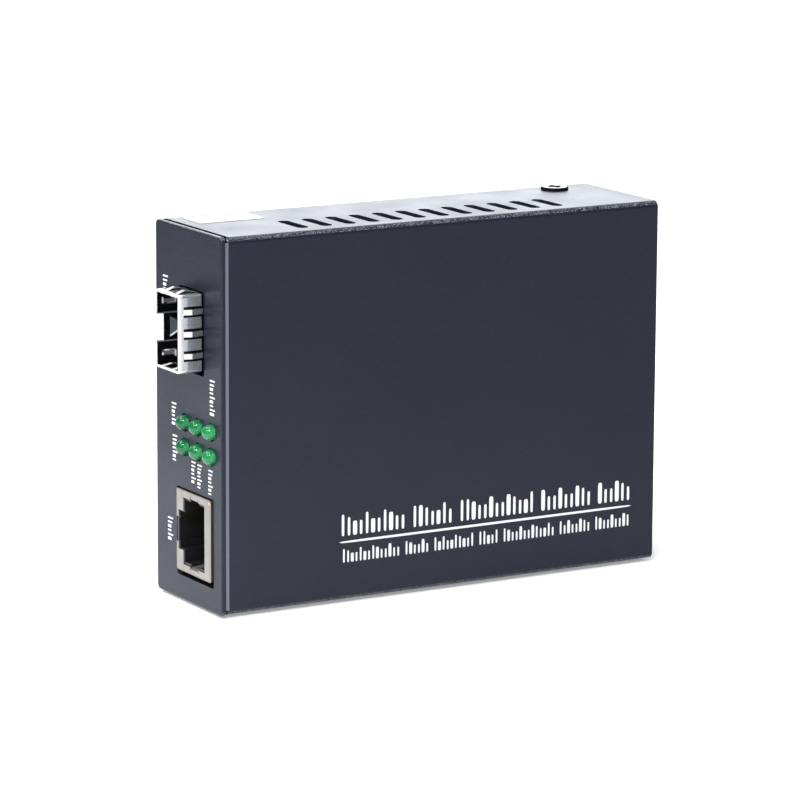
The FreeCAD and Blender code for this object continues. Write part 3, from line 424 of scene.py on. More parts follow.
def effect(name):
    """A shader node group with named sockets, built once."""
    tree = bpy.data.node_groups.get(name)
    if tree is None:
        values, outputs, build = EFFECTS[name]
        tree = bpy.data.node_groups.new(name, "ShaderNodeTree")
        tree.interface.new_socket(name="Vector", in_out="INPUT", socket_type="NodeSocketVector")
        for label, value in values.items():
            kind = "NodeSocketFloat" if isinstance(value, float) else "NodeSocketVector"
            socket = tree.interface.new_socket(name=label, in_out="INPUT", socket_type=kind)
            socket.default_value = value
        for label in outputs:
            tree.interface.new_socket(name=label, in_out="OUTPUT", socket_type="NodeSocketFloat")
        given = tree.nodes.new("NodeGroupInput")
        taken = tree.nodes.new("NodeGroupOutput")
        for label, socket in build(tree, given.outputs).items():
            tree.links.new(socket, taken.inputs[label])
    return tree


class Finish:
    """A material in the making: its tree, its Principled shader and the place on the object."""

    def __init__(self, name, constants=None):
        self.material = bpy.data.materials.new(name)
        self.material.use_nodes = True
        self.tree = self.material.node_tree
        self.shader = self.tree.nodes["Principled BSDF"]
        self.place = add_node(self.tree, "TexCoord").outputs["Object"]
        for label, value in (constants or {}).items():
            self.shader.inputs[label].default_value = value

    def use(self, name, **values):
        """Places a node group at this object's coordinates and returns its outputs."""
        inputs = {"Vector": self.place, **values}
        return add_node(self.tree, "Group", inputs, node_tree=effect(name)).outputs

    def slow(self, size, low, high):
        """A value that drifts between two others over patches of a size."""
        return self.use("Slow change", Size=size, Low=low, High=high)["Value"]

    def feed(self, label, socket):
        """Joins an output to one of the shader's inputs."""
        self.tree.links.new(socket, self.shader.inputs[label])

    def vary(self, shade, amount, size=0.02):
        """The colour, a little darker and lighter over the surface."""
        value = self.slow(size, 1.0 - amount, 1.0 + amount)
        return vectors(self.tree, "MULTIPLY", tuple(shade), value)

    def gloss(self, size, low, high):
        """A roughness that drifts between two values."""
        self.feed("Roughness", self.slow(size, low, high))

    def bump(self, height, strength, distance):
        """A Bump node on the shader's normal."""
        made = add_node(self.tree, "Bump", {"Height": height, "Strength": strength,
                                            "Distance": distance})
        self.feed("Normal", made.outputs["Normal"])


PAINT_BUMP, PAINT_RELIEF = 0.4, 0.075 * MM
# Size of the specks of wear and painted highlight on the folds
WEAR_AND_HIGHLIGHT_SIZE = 0.22 * MM
PLATED_METAL = 0.85
FINE_RELIEF = 0.01 * MM  # of mouldings and plating


def painted(case):
    """Powder coat: a fine bumpy skin with pale flecks where the grain stands highest, and specks of wear and
    painted highlight along the folds and rims."""
    finish = Finish("case_paint", {"IOR": 1.4})
    texture = finish.use("Surface grain", Size=case.paint_grain)
    base = finish.vary(case.paint, 0.06, 0.03)
    pale = [part * 1.7 + 0.01 for part in case.paint]
    skin = blend_colours(finish.tree, times(finish.tree, texture["Fleck"], 0.35), base, pale)
    # painted highlight and wear on the folds
    specks = finish.use("Wear on folds", Size=WEAR_AND_HIGHLIGHT_SIZE)["Wear"]
    finish.feed("Base Color", blend_colours(finish.tree, specks, skin, case.worn))
    finish.gloss(0.012, case.paint_roughness - 0.03, case.paint_roughness + 0.04)
    finish.bump(texture["Height"], PAINT_BUMP, PAINT_RELIEF)
    return finish.material


def moulded(name, shade, roughness=0.45, size=0.25 * MM, amount=0.1, strength=0.2):
    """Moulded resin, glazed ceramic, ferrite or paper: a fine even grain and slow changes of shade."""
    finish = Finish(name)
    texture = finish.use("Surface grain", Size=size)
    finish.feed("Base Color", finish.vary(shade, amount, 0.006))
    finish.feed("Roughness", ramp(finish.tree, texture["Height"], 0.0, 0.8,
                                  roughness - 0.06, roughness + 0.08))
    finish.bump(texture["Height"], strength, FINE_RELIEF)
    return finish.material


def plate(name, shade, roughness=0.25, stretch=(900.0, 900.0, 60.0), strength=0.12, metal=PLATED_METAL):
    """Plated or drawn metal: fine lines along the strip, and slow changes of gloss and shade. It gives
    the finish, with its base colour as skin."""
    finish = Finish(name, {"Metallic": metal})
    tree = finish.tree
    lines = finish.use("Rolled metal", Stretch=stretch)
    dull = [part * 0.82 for part in shade]
    finish.skin = blend_colours(tree, times(tree, lines["Line"], 0.5),
                                finish.vary(shade, 0.05, 0.005), dull)
    finish.feed("Base Color", finish.skin)
    slow = finish.slow(0.006, roughness - 0.05, roughness + 0.07)
    finish.feed("Roughness", maths(tree, "ADD", slow, times(tree, lines["Line"], 0.06)))
    finish.bump(lines["Height"], strength, FINE_RELIEF)
    return finish


def plated(*values, **more):
    """The material of a plate."""
    return plate(*values, **more).material


def dress(material, *names):
    """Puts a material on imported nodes."""
    for name in names:
        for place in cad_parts[name].material_slots:
            place.material = material


# ---- Case ----
# The screws' cross recess, whose gloss is taken away as painted shade, from the middle of the head: where
# each shape begins and ends to fade
CROSS_ARM = (0.5 * MM, 0.62 * MM)  # half the width of an arm
CROSS_REACH = (1.6 * MM, 1.75 * MM)  # half the length of both arms
CROSS_PIT = (1.0 * MM, 1.15 * MM)  # the radius of the round pit
HEAD_SKIN = (0.02 * MM, 0.005 * MM)  # how far below the head's flat its gloss begins and is full


def screw_finish(case):
    """Blackened steel: a gloss on the flat of the head, and none in the cross or its pit, as painted shade in
    the recess.
    """
    finish = Finish("blackened_screw", {"Specular IOR Level": 0.0, "Coat Roughness": 0.22})
    tree = finish.tree
    low, high = corners("cover_screws")
    centre = middle("cover_screws")
    place = axes(tree, finish.place)
    off = [away_from(tree, place[axis], spot) for axis, spot in zip("XY", centre)]
    cross = times(tree, ramp(tree, maths(tree, "MINIMUM", *off), *CROSS_ARM, 1.0, 0.0),
                  ramp(tree, maths(tree, "MAXIMUM", *off), *CROSS_REACH, 1.0, 0.0))
    flat = vectors(tree, "MULTIPLY", finish.place, (1.0, 1.0, 0.0))
    away = vectors(tree, "DISTANCE", flat, (*centre[:2], 0.0))
    pit = ramp(tree, away, *CROSS_PIT, 1.0, 0.0)
    half = (high[2] - low[2]) / 2
    top = ramp(tree, away_from(tree, place["Z"], centre[2]), *(half - skin for skin in HEAD_SKIN))
    # no gloss in the cross or its pit: painted shade in the recess
    plain = maths(tree, "SUBTRACT", 1.0, maths(tree, "MAXIMUM", cross, pit))
    finish.feed("Coat Weight", times(tree, top, plain))
    finish.feed("Base Color", finish.vary(case.screw, 0.2, 0.002))
    finish.gloss(0.002, 0.35, 0.5)
    return finish.material


class CONVERTER_OT_case(bpy.types.Operator):
    """Paint the chassis and the cover, and finish the cover screws and the seal label."""
    bl_idname = "converter.case"
    bl_label = "Finish the case"

    def execute(self, context):
        case = settings().case
        dress(painted(case), "base_chassis", "top_cover")
        dress(screw_finish(case), "cover_screws")
        dress(moulded("label_paper", case.label, 0.5, 0.15 * MM, 0.03, 0.15), "seal_label")
        return {"FINISHED"}


SEAM_GAP = 0.35 * MM  # between the panel's back and the cover's front edge
SEAM_LAP = 0.4 * MM  # of the coat over each side of the gap
SEAM_DEPTH = 0.04 * MM  # of the coat behind the printed face; its thickness is the same
SEAM_END = 0.95 * MM  # left bare at each end
SEAM_BACK = 0.4 * MM  # left bare by the shade at the base plate
SEAM_SHADE = 0.1 * MM  # thickness of the shade, which laps twice as far over the cover
SEAM_DARK = (0.004, 0.004, 0.005)


class CONVERTER_OT_seam(bpy.types.Operator):
    """Fill the seam between the cover and the port panel: powder coat on the printed face, shade on the
    top and the bottom."""
    bl_idname = "converter.seam"
    bl_label = "Coat the seam"

    def execute(self, context):
        low, high = corners("top_cover")
        start, end = low[0] - SEAM_GAP - SEAM_LAP, low[0] + SEAM_LAP
        coat = slab((start, low[1] + SEAM_DEPTH, low[2] + SEAM_END),
                    (end, low[1] + 2 * SEAM_DEPTH, high[2] - SEAM_END))
        add_piece("seam_coat", *coat, "case_paint", bpy.data.materials["case_paint"], smooth=False)
        shade = Finish("seam_shade", {"Specular IOR Level": 0.0})
        shade.feed("Base Color", shade.vary(SEAM_DARK, 0.2))
        shade.gloss(0.01, 0.8, 0.95)
        strips = [slab((start + SEAM_LAP, low[1] + SEAM_END, base),
                       (end + SEAM_LAP, high[1] - SEAM_BACK, base + SEAM_SHADE))
                  for base in (high[2] - SEAM_SHADE, low[2])]
        add_piece("seam_shade", *joined(strips), "case_paint", shade.material, smooth=False)
        return {"FINISHED"}


# Print on the cover: words, then start and end along X, base line and height in millimetres
FACE_PRINT = (
    ("face_print_upper", (11, 7, 13, 9, 6), (25.0, 89.8, 12.3, 4.1)),
    ("face_print_lower", (14, 6, 10, 5, 13, 8, 9), (25.4, 89.6, 7.2, 2.6)),
)
FACE_RULE = (24.8, 89.9, 10.9, 0.45)
# Print on the port panel: words, then base line along Y, top and end along Z and height in millimetres
PANEL_PRINT = (
    ("panel_print_1", (9,), (4.4, 44.0, 37.0, 2.0)),
    ("panel_print_2", (6,), (19.6, 37.2, 32.6, 1.9)),
    ("panel_print_3", (7,), (19.3, 31.1, 25.7, 1.9)),
    ("panel_print_4", (6,), (11.8, 27.4, 22.9, 1.7)),
    ("panel_print_5", (7,), (9.4, 27.2, 22.3, 1.8)),
    ("panel_print_6", (7,), (5.1, 27.0, 21.9, 1.8)),
    ("panel_print_7", (6,), (21.4, 15.0, 10.2, 2.1)),
    ("panel_print_8", (4,), (22.9, 60.8, 57.6, 2.0)),
)
# The ways along a row and up its bars, on the cover and on the port panel
FACE_WAYS = ((1, 0, 0), (0, 0, 1))
PANEL_WAYS = ((0, 0, -1), (0, -1, 0))


def ink_finish():
    """White ink, thin enough that the powder coat's grain shows through it."""
    made = bpy.data.materials.get("white_ink")
    if made is None:
        case = settings().case
        finish = Finish("white_ink")
        texture = finish.use("Surface grain", Size=case.paint_grain)
        thin = times(finish.tree, texture["Fleck"], 0.12)
        shade = [part * 0.55 for part in case.ink]
        finish.feed("Base Color", blend_colours(finish.tree, thin, case.ink, shade))
        finish.gloss(0.004, 0.4, 0.5)
        finish.bump(texture["Height"], 0.15, 0.02 * MM)
        made = finish.material
    return made


def stamp(name, centres, sizes, origin, ways):
    """Makes a piece of ink of flat plates on the case."""
    points, faces = plates(centres, sizes, origin, *ways, settings().case.ink_thickness)
    add_piece(name, points, faces, "white_paper", ink_finish(), smooth=False)


class CONVERTER_OT_print(bpy.types.Operator):
    """Print rows of plain bars and a rule on the cover, and short rows on the port panel."""
    bl_idname = "converter.print"
    bl_label = "Print the case"

    def execute(self, context):
        low = corners("top_cover")[0]
        face = np.array([panel_face(), low[1], low[2]])
        for name, words, measures in FACE_PRINT:
            start, end, base, height = np.multiply(measures, MM)
            stamp(name, *bar_rows(words, start, end, height), face + (0, 0, base), FACE_WAYS)
        start, end, base, height = np.multiply(FACE_RULE, MM)
        stamp("face_print_rule", [((start + end) / 2, height / 2)], [(end - start, height)],
              face + (0, 0, base), FACE_WAYS)
        for name, words, measures in PANEL_PRINT:
            far, top, end, height = np.multiply(measures, MM)
            stamp(name, *bar_rows(words, 0.0, top - end, height), face + (0, far, top), PANEL_WAYS)
        return {"FINISHED"}


# ---- Ports ----
JACK_FACE = (13.8 * MM, 15.6 * MM)  # along Y and Z
# Painted shade on the jack's rim: where it fades in from the shell's outline, and behind its face
JACK_RIM = (0.1 * MM, 0.3 * MM)  # from its outline, where the rim begins and ends to fade
JACK_FRONT = (0.5 * MM, 0.8 * MM)  # the same, behind its face
CURL_RADIUS, CURL_WIRE, CURL_INSET = 0.26 * MM, 0.1 * MM, 0.62 * MM
CURL_BRASS = (0.72, 0.58, 0.38)
CAGE_HEIGHT, CAGE_SKIN = 9.1 * MM, 0.2 * MM
TONGUE_HALF = 2.6 * MM  # half the height of the tongue on the cage's board side
# White of the painted reflection on the tongue
TONGUE_REFLECTION = (0.9, 0.9, 0.88)
# Where the collar begins behind the mouth, how much less on the board side, and more on the tongue
COLLAR_START, COLLAR_LESS, COLLAR_MORE = 0.9 * MM, 0.65 * MM, 1.3 * MM
COLLAR_END = (5 * MM, 6 * MM)
# Painted highlights on cut edges in the board side of the cage, from its mouth: x and offset from its middle
# along Z, both ends
CAGE_EDGES = (
    ((2.85, -1.78), (5.7, -0.2)),
    ((1.3, 4.5), (1.3, 5.6)), ((3.95, 4.5), (3.95, 5.4)),
    ((3.95, -5.6), (3.95, -4.5)), ((1.7, -4.35), (2.6, -4.35)), ((1.3, -5.3), (1.3, -4.8)),
)
EDGE_WIDTH = 0.22 * MM
# Colour of the painted highlights on the cut edges
EDGE_BRIGHT = (0.9, 0.89, 0.86)
LIP_DRAWN = 1.9 * MM
LIP_SLOPE = 0.42


def jack_finish(port):
    """Drawn nickel, with a painted shade, warmer in tint, along the rim of the shell's face."""
    finish = plate("jack_nickel", port.shield, 0.3, (300.0, 1500.0, 60.0), 0.1)
    tree = finish.tree
    place = axes(tree, finish.place)
    low = corners("rj45_shield")[0]
    inside = [maths(tree, "SUBTRACT", size / 2, away_from(tree, place[axis], start + size / 2))
              for axis, start, size in zip("YZ", low[1:], JACK_FACE)]
    edge = ramp(tree, maths(tree, "MINIMUM", *inside), *JACK_RIM, 1.0, 0.0)
    front = ramp(tree, place["X"], *(low[0] + depth for depth in JACK_FRONT), 1.0, 0.0)
    # painted shade on the rim
    rim = times(tree, times(tree, edge, front), 0.75)
    finish.feed("Base Color", blend_colours(tree, rim, finish.skin, port.rim))
    return finish.material


def jack_curl():
    """A curled tag on the shell's face: a wire's circle turned about a line along X, near a corner."""
    low, high = corners("rj45_shield")
    turn = np.linspace(0, 2 * np.pi, 12, endpoint=False)
    ring = np.stack([CURL_WIRE * np.cos(turn), CURL_RADIUS + CURL_WIRE * np.sin(turn)], -1)
    return lathe(np.vstack([ring, ring[:1]]), (low[0], low[1] + CURL_INSET, high[2] - CURL_INSET), 0, 20)


def cage_finish(port):
    """Plated strip with painted shade where the spring collar covers it, and a painted reflection, white and
    not metallic, on its tongue.
    """
    finish = plate("cage_plate", port.cage, 0.24, (80.0, 1200.0, 1200.0), 0.12)
    tree = finish.tree
    place = axes(tree, finish.place)
    off = away_from(tree, place["Z"], middle("sfp_spring_collar")[2])
    far = maths(tree, "GREATER_THAN", place["Y"], 0.0)
    tongue = times(tree, far,
                   ramp(tree, off, TONGUE_HALF, TONGUE_HALF + 0.1 * MM, 1.0, 0.0))
    begins = maths(tree, "MULTIPLY_ADD", far, -COLLAR_LESS, cad_low[0] + COLLAR_START)
    begins = maths(tree, "MULTIPLY_ADD", tongue, COLLAR_MORE, begins)
    past_lip = maths(tree, "GREATER_THAN", place["X"], begins)
    # painted shade under the collar, fading out behind the mouth
    painted_shade = ramp(tree, place["X"], *(cad_low[0] + depth for depth in COLLAR_END), 1.0, 0.0)
    shaded_under_collar = times(tree, past_lip, painted_shade)
    # painted reflection on the tongue in front of the collar, white and not metallic
    tongue_reflection = times(tree, tongue, maths(tree, "SUBTRACT", 1.0, past_lip))
    bright = blend_colours(tree, tongue_reflection, finish.skin, TONGUE_REFLECTION)
    finish.feed("Metallic", maths(tree, "MULTIPLY_ADD", tongue_reflection, -PLATED_METAL, PLATED_METAL))
    dark = [part * port.collar_shade for part in port.cage]
    finish.feed("Base Color", blend_colours(tree, shaded_under_collar, bright, dark))
    return finish.material


def cage_edges():
    """Thin bright bars along the cut edges of the latch hole and of the two windows: painted highlights where
    the edges catch the light.
    """
    middle_z = middle("sfp_spring_collar")[2]
    wall = corners("sfp_cage")[0][1] + CAGE_HEIGHT - CAGE_SKIN
    for start, end in CAGE_EDGES:
        run = (np.array(end) - start) * MM
        way = run / np.hypot(*run)
        across = np.array([way[1], -way[0]]) * EDGE_WIDTH / 2
        flat = np.array([-across, across, across + run, run - across]) + np.array(start) * MM
        flat = np.stack([cad_low[0] + flat[:, 0], np.full(4, wall), middle_z + flat[:, 1]], -1)
        points = np.vstack([flat, flat - (0, EDGE_WIDTH, 0)])
        sides = [[a, (a + 1) % 4, (a + 1) % 4 + 4, a + 4] for a in range(4)]
        yield points, [[3, 2, 1, 0], [4, 5, 6, 7]] + sides


def collar_finish(port):
    """Bright strip whose lip is drawn in a little: the height falls towards the mouth by h = -slope * length
    * (1 - t) ** 2 / 2, with t from 0 at the lip to 1 where the drawn part ends. The lip and the faces that
    turn towards the mouth are pale and less metallic: burnish and painted highlight."""
    finish = Finish("spring_tin")
    tree = finish.tree
    lines = finish.use("Rolled metal", Stretch=(80.0, 1500.0, 1500.0))
    finish.gloss(0.005, 0.2, 0.3)
    along = axes(tree, finish.place)["X"]
    rest = ramp(tree, along, cad_low[0], cad_low[0] + LIP_DRAWN, 1.0, 0.0, smooth=False)
    facing = axes(tree, normal(tree))["X"]
    # painted highlight and burnish: the lip, and faces that turn towards the mouth
    worn = maths(tree, "MAXIMUM", ramp(tree, rest, 0.4, 0.95),
                 ramp(tree, facing, -0.16, -0.04, 1.0, 0.0))
    spring = finish.vary(port.spring, 0.05, 0.004)
    finish.feed("Base Color", blend_colours(tree, worn, spring, port.worn))
    finish.feed("Metallic", ramp(tree, worn, 0.0, 1.0, PLATED_METAL, 0.3, smooth=False))
    drawn = times(tree, maths(tree, "POWER", rest, 2.0), -LIP_SLOPE * LIP_DRAWN / 2)
    fine = times(tree, lines["Height"], 0.001 * MM)
    finish.bump(maths(tree, "ADD", drawn, fine), 1.0, 1.0)
    return finish.material


class CONVERTER_OT_ports(bpy.types.Operator):
    """Finish the copper jack, the transceiver cage and the power inlet, and add the jack's curled tag and the
    painted highlights along the cut edges in the cage."""
    bl_idname = "converter.ports"
    bl_label = "Finish the ports"

    def execute(self, context):
        port = settings().port
        dress(jack_finish(port), "rj45_shield")
        dress(cage_finish(port), "sfp_cage")
        dress(collar_finish(port), "sfp_spring_collar")
        dress(plated("contact_gold", port.contact, 0.2, (100.0, 2000.0, 2000.0), 0.06),
              "rj45_contacts", "sfp_connector_contacts")
        dress(plated("inlet_plate", port.pin, 0.16, (200.0, 2000.0, 2000.0), 0.06), "dc_jack_pin")
        dress(moulded("black_moulding", port.moulding, 0.42), "rj45_housing", "sfp_connector",
              "led_holder", "dc_jack_housing")
        # painted highlights on the cage's cut edges
        bright = plated("worn_edge", EDGE_BRIGHT, 0.3, metal=0.1)
        brass = plated("curled_tag", CURL_BRASS, 0.25)
        add_piece("jack_curl", *jack_curl(), "nickel_shield", brass)
        add_piece("cage_cut_edges", *joined(cage_edges()), "cage_steel", bright, smooth=False)
        return {"FINISHED"}


# Profiles of a 3 mm lamp, from its tip: distance along the axis and radius, in millimetres
LAMP_BARREL = ((4.9, 1.5), (4.9, 1.9), (5.7, 1.9), (5.7, 0.0))
LAMP_CUP = ((3.15, 0.0), (2.8, 0.3), (2.55, 0.42), (2.55, 0.56), (3.2, 0.6), (3.5, 0.3), (5.0, 0.26),
            (5.0, 0.0))
LAMP_POST = ((3.0, 0.0), (3.0, 0.34), (3.4, 0.3), (5.0, 0.26), (5.0, 0.0))
LAMP_DOME_STEPS, LAMP_SIDES, FRAME_SIDES = 14, 36, 20
LAMP_FRAME_OFFSET = 0.55 * MM
# The way that a lamp's side faces to get a painted highlight
LAMP_HIGHLIGHT_WAY = (0.1, -0.98, 0.12)  # the way that the side facing it gathers the light
LAMP_NUMBERS = range(1, 7)


def lamp_dome(tip, centre):
    """The clear body: a quarter circle turned about the lamp's axis, x = r - r cos a and radius = r sin a
    for a from 0 to 90 degrees, then the barrel and the rim."""
    turn = np.linspace(0, np.pi / 2, LAMP_DOME_STEPS)
    radius = LAMP_BARREL[0][1]
    dome = np.stack([radius - radius * np.cos(turn), radius * np.sin(turn)], -1)
    profile = np.vstack([dome, LAMP_BARREL]) * MM + (tip, 0)
    return lathe(profile, (0, *centre), 0, LAMP_SIDES)


def lamp_finish(port):
    """Tinted clear resin, with painted shade that deepens towards the far lamps, and a painted highlight on
    the side that faces along -Y."""
    finish = Finish("lamp_resin", {"IOR": 1.52, "Transmission Weight": 0.58})
    tree = finish.tree
    facing = vectors(tree, "DOT_PRODUCT", normal(tree), LAMP_HIGHLIGHT_WAY)
    lows, highs = zip(*(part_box(f"led_{number}") for number in LAMP_NUMBERS))
    depth = ramp(tree, axes(tree, finish.place)["Y"], min(low[1] for low in lows),
                 max(high[1] for high in highs), smooth=False)
    # painted shade of the far lamps
    painted_shade = [part * 0.45 for part in port.lamp]
    # painted highlight on the side that faces the light
    bright = [min(part * 1.5 + 0.05, 0.9) for part in port.lamp]
    body = blend_colours(tree, depth, port.lamp, painted_shade)
    shade = blend_colours(tree, ramp(tree, facing, 0.74, 0.98), body, bright)
    value = finish.slow(0.002, 0.92, 1.08)
    finish.feed("Base Color", vectors(tree, "MULTIPLY", shade, value))
    finish.gloss(0.003, 0.02, 0.06)
    return finish.material


class CONVERTER_OT_lamps(bpy.types.Operator):
    """Replace the six lamps by smooth clear domes with a cup, its post and a second post inside each."""
    bl_idname = "converter.lamps"
    bl_label = "Build the lamps"

    def execute(self, context):
        resin = lamp_finish(settings().port)
        tin = plated("lamp_frame_plate", settings().board.tin, 0.3)
        for number in LAMP_NUMBERS:
            low, high = corners(f"led_{number}")
            y, z = (low[1:] + high[1:]) / 2
            dome = add_piece(f"lamp_{number}", *lamp_dome(low[0], (y, z)), "green_lamp", resin)
            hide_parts(f"led_{number}")
            parts = [lathe(np.multiply(profile, MM) + (low[0], 0),
                           (0, y, z + side * LAMP_FRAME_OFFSET), 0, FRAME_SIDES)
                     for profile, side in ((LAMP_CUP, -1), (LAMP_POST, 1))]
            add_piece(f"lamp_{number}_frame", *joined(parts), "tinned_lead", tin)
        return {"FINISHED"}


# ---- Board ----
TRACK_SCALE = 220.0
TRACK_EDGE = (0.05, 0.09)  # where a track begins and ends to fade, in cells
# Painted shade on the board behind the port panel: near black at its front edge, fading to its green
BOARD_FRONT = (0.3 * MM, 2.5 * MM)  # the board's front edge is dark, and fades to its green
BOARD_FRONT_SHADE = (0.004, 0.006, 0.005)
SOLDERED = ("rj45_contacts", "led_leads", "dc_jack_terminals", "electrolytic_capacitors", "clock_crystal",
            "rj45_shield", "voltage_regulator")
OUTLINED = ("converter_chip", "memory_chip", "lan_transformer", "voltage_regulator", "power_inductor",
            "clock_crystal")
OUTLINE_GAP, OUTLINE_WIDTH, OUTLINE_SKIN = 1.4 * MM, 0.2 * MM, 0.02 * MM
TIP_REACH = 0.95 * MM  # corners of one lead are nearer to each other than this
TIP_STANDS = 0.3 * MM  # a lead stands out further than this behind the board
CONE_STEPS, CONE_SIDES = 7, 14


class CONVERTER_OT_board(bpy.types.Operator):
    """Finish the circuit board, its fixings and the parts on it."""
    bl_idname = "converter.board"
    bl_label = "Finish the board"

    def execute(self, context):
        board = settings().board
        mask = Finish("solder_mask", {"Specular IOR Level": 0.5, "Coat Weight": 0.4,
                                      "Coat Roughness": 0.15})
        tracks = add_node(mask.tree, "TexVoronoi", {"Vector": mask.place, "Scale": TRACK_SCALE},
                          feature="DISTANCE_TO_EDGE")
        line = ramp(mask.tree, tracks.outputs["Distance"], *TRACK_EDGE, 1.0, 0.0)
        green = blend_colours(mask.tree, line, mask.vary(board.mask, 0.08), board.track)
        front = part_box("circuit_board")[0][0]
        # painted shade near the board's front edge
        inner = ramp(mask.tree, axes(mask.tree, mask.place)["X"], *(front + depth for depth in BOARD_FRONT))
        mask.feed("Base Color", blend_colours(mask.tree, inner, BOARD_FRONT_SHADE, green))
        mask.gloss(0.01, 0.28, 0.38)
        mask.bump(line, 0.3, 0.02 * MM)
        dress(mask.material, "circuit_board")
        dress(plated("lead_tin", board.tin, 0.32), "led_leads", "dc_jack_terminals")
        dress(plated("fixing_zinc", board.zinc, 0.28, (600.0, 60.0, 600.0)),
              "board_standoffs", "board_screws")
        dress(moulded("package_resin", board.resin, 0.5, 0.12 * MM), "lan_transformer", "converter_chip",
              "memory_chip", "voltage_regulator")
        dress(moulded("drum_ferrite", board.ferrite, 0.6, 0.3 * MM, 0.15, 0.4), "power_inductor")
        dress(moulded("chip_ceramic", board.ceramic, 0.35, 0.1 * MM, 0.12), "chip_capacitors")
        dress(moulded("chip_glaze", board.resistor, 0.25, 0.1 * MM, 0.1), "chip_resistors")
        dress(plated("drawn_can", board.can, 0.22, (60.0, 600.0, 60.0)), "clock_crystal",
              "electrolytic_capacitors")
        return {"FINISHED"}


def lead_tips(name, beyond):
    """Middles of the leads of a node that stand out beyond a Y: their corners, joined into groups by
    letting each take the lowest label among those within reach until no label changes."""
    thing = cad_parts[name]
    points = np.empty(len(thing.data.vertices) * 3)
    thing.data.vertices.foreach_get("co", points)
    matrix = np.array(thing.matrix_world)
    points = points.reshape(-1, 3) @ matrix[:3, :3].T + matrix[:3, 3]
    flat = np.unique(points[points[:, 1] > beyond][:, (0, 2)].round(6), axis=0)
    near = np.hypot(*(flat[:, None] - flat).transpose(2, 0, 1)) < TIP_REACH
    labels = np.arange(len(flat))
    for _ in range(len(flat)):
        lowest = np.where(near, labels, len(flat)).min(1)
        if (lowest == labels).all():
            break
        labels = lowest
    groups = [flat[labels == label] for label in np.unique(labels)]
    return [(group.min(0) + group.max(0)) / 2 for group in groups]


def solder_cone(board, x, z, back):
    """A joint: radius = lead + (pad - lead) * (1 - h / height) ** 2 at the height h off the board."""
    height = np.linspace(0, 1, CONE_STEPS)
    lead = board.solder_radius * 0.3
    radius = lead + (board.solder_radius - lead) * (1 - height) ** 2
    profile = np.vstack([(0, 0), np.stack([height * board.solder_height, radius], -1),
                         (board.solder_height, 0)])
    return lathe(profile, (x, back, z), 1, CONE_SIDES)


def part_outline(name, board_face):
    """Four printed bars round a part on the front of the board."""
    low, high = (corner[[0, 2]] for corner in corners(name))
    centre, size = (low + high) / 2, high - low + OUTLINE_GAP
    lines = [(centre + (0, side * size[1] / 2), (size[0], OUTLINE_WIDTH)) for side in (-1, 1)]
    lines += [(centre + (side * size[0] / 2, 0), (OUTLINE_WIDTH, size[1])) for side in (-1, 1)]
    return plates(*zip(*lines), (0, board_face, 0), *FACE_WAYS, OUTLINE_SKIN)


class CONVERTER_OT_joints(bpy.types.Operator):
    """Solder the leads on the back of the board, and print outlines round the larger parts."""
    bl_idname = "converter.joints"
    bl_label = "Solder and print the board"

    def execute(self, context):
        board = settings().board
        low, high = corners("circuit_board")
        solder = plated("solder", board.tin, 0.28, metal=0.9)
        cones = [solder_cone(board, x, z, high[1]) for name in SOLDERED
                 for x, z in lead_tips(name, high[1] + TIP_STANDS)]
        add_piece("solder_joints", *joined(cones), "tinned_lead", solder)
        outlines = [part_outline(name, low[1]) for name in OUTLINED]
        add_piece("board_print", *joined(outlines), "white_paper", ink_finish(), smooth=False)
        return {"FINISHED"}


# ---- Stage ----
# Painted pools of light on the floor, as glossy surfaces see them: middle, where they begin and end to fade,
# strength
PAINTED_FLOOR_LIGHT = (((-0.09, 0.08, 0.0), (0.03, 0.28), 1.0), ((-0.12, -0.37, 0.0), (0.02, 0.1), 0.6))
# Painted shade on the floor behind the converter, as glossy surfaces see it
FLOOR_BACK_SHADE = (-0.06, 0.06)  # the floor behind the converter is darker, from one Y to the other
BACK_SHARE = 0.4
FLOOR_LIFT = 0.3
FLOOR_DROP = 0.05 * MM  # of the floor below the converter
SCREEN_WAY = (0.5, 0.86, 0.1)
SCREEN_REACH = (0.72, 0.96)
WHITE = (1.0, 1.0, 1.0)
# Soft boxes, in metres: name, place, side, and the setting that holds its power
SOFT_BOXES = (
    ("key_box", (-0.25, 0.25, 0.95), 0.8, "key"),
    ("fill_box", (-0.6, -0.8, 1.0), 0.35, "fill"),
    ("side_box", (-0.9, -0.35, 0.8), 0.5, "side"),
    ("spark_box", (-0.62, -0.72, 0.62), 0.06, "spark"),
)


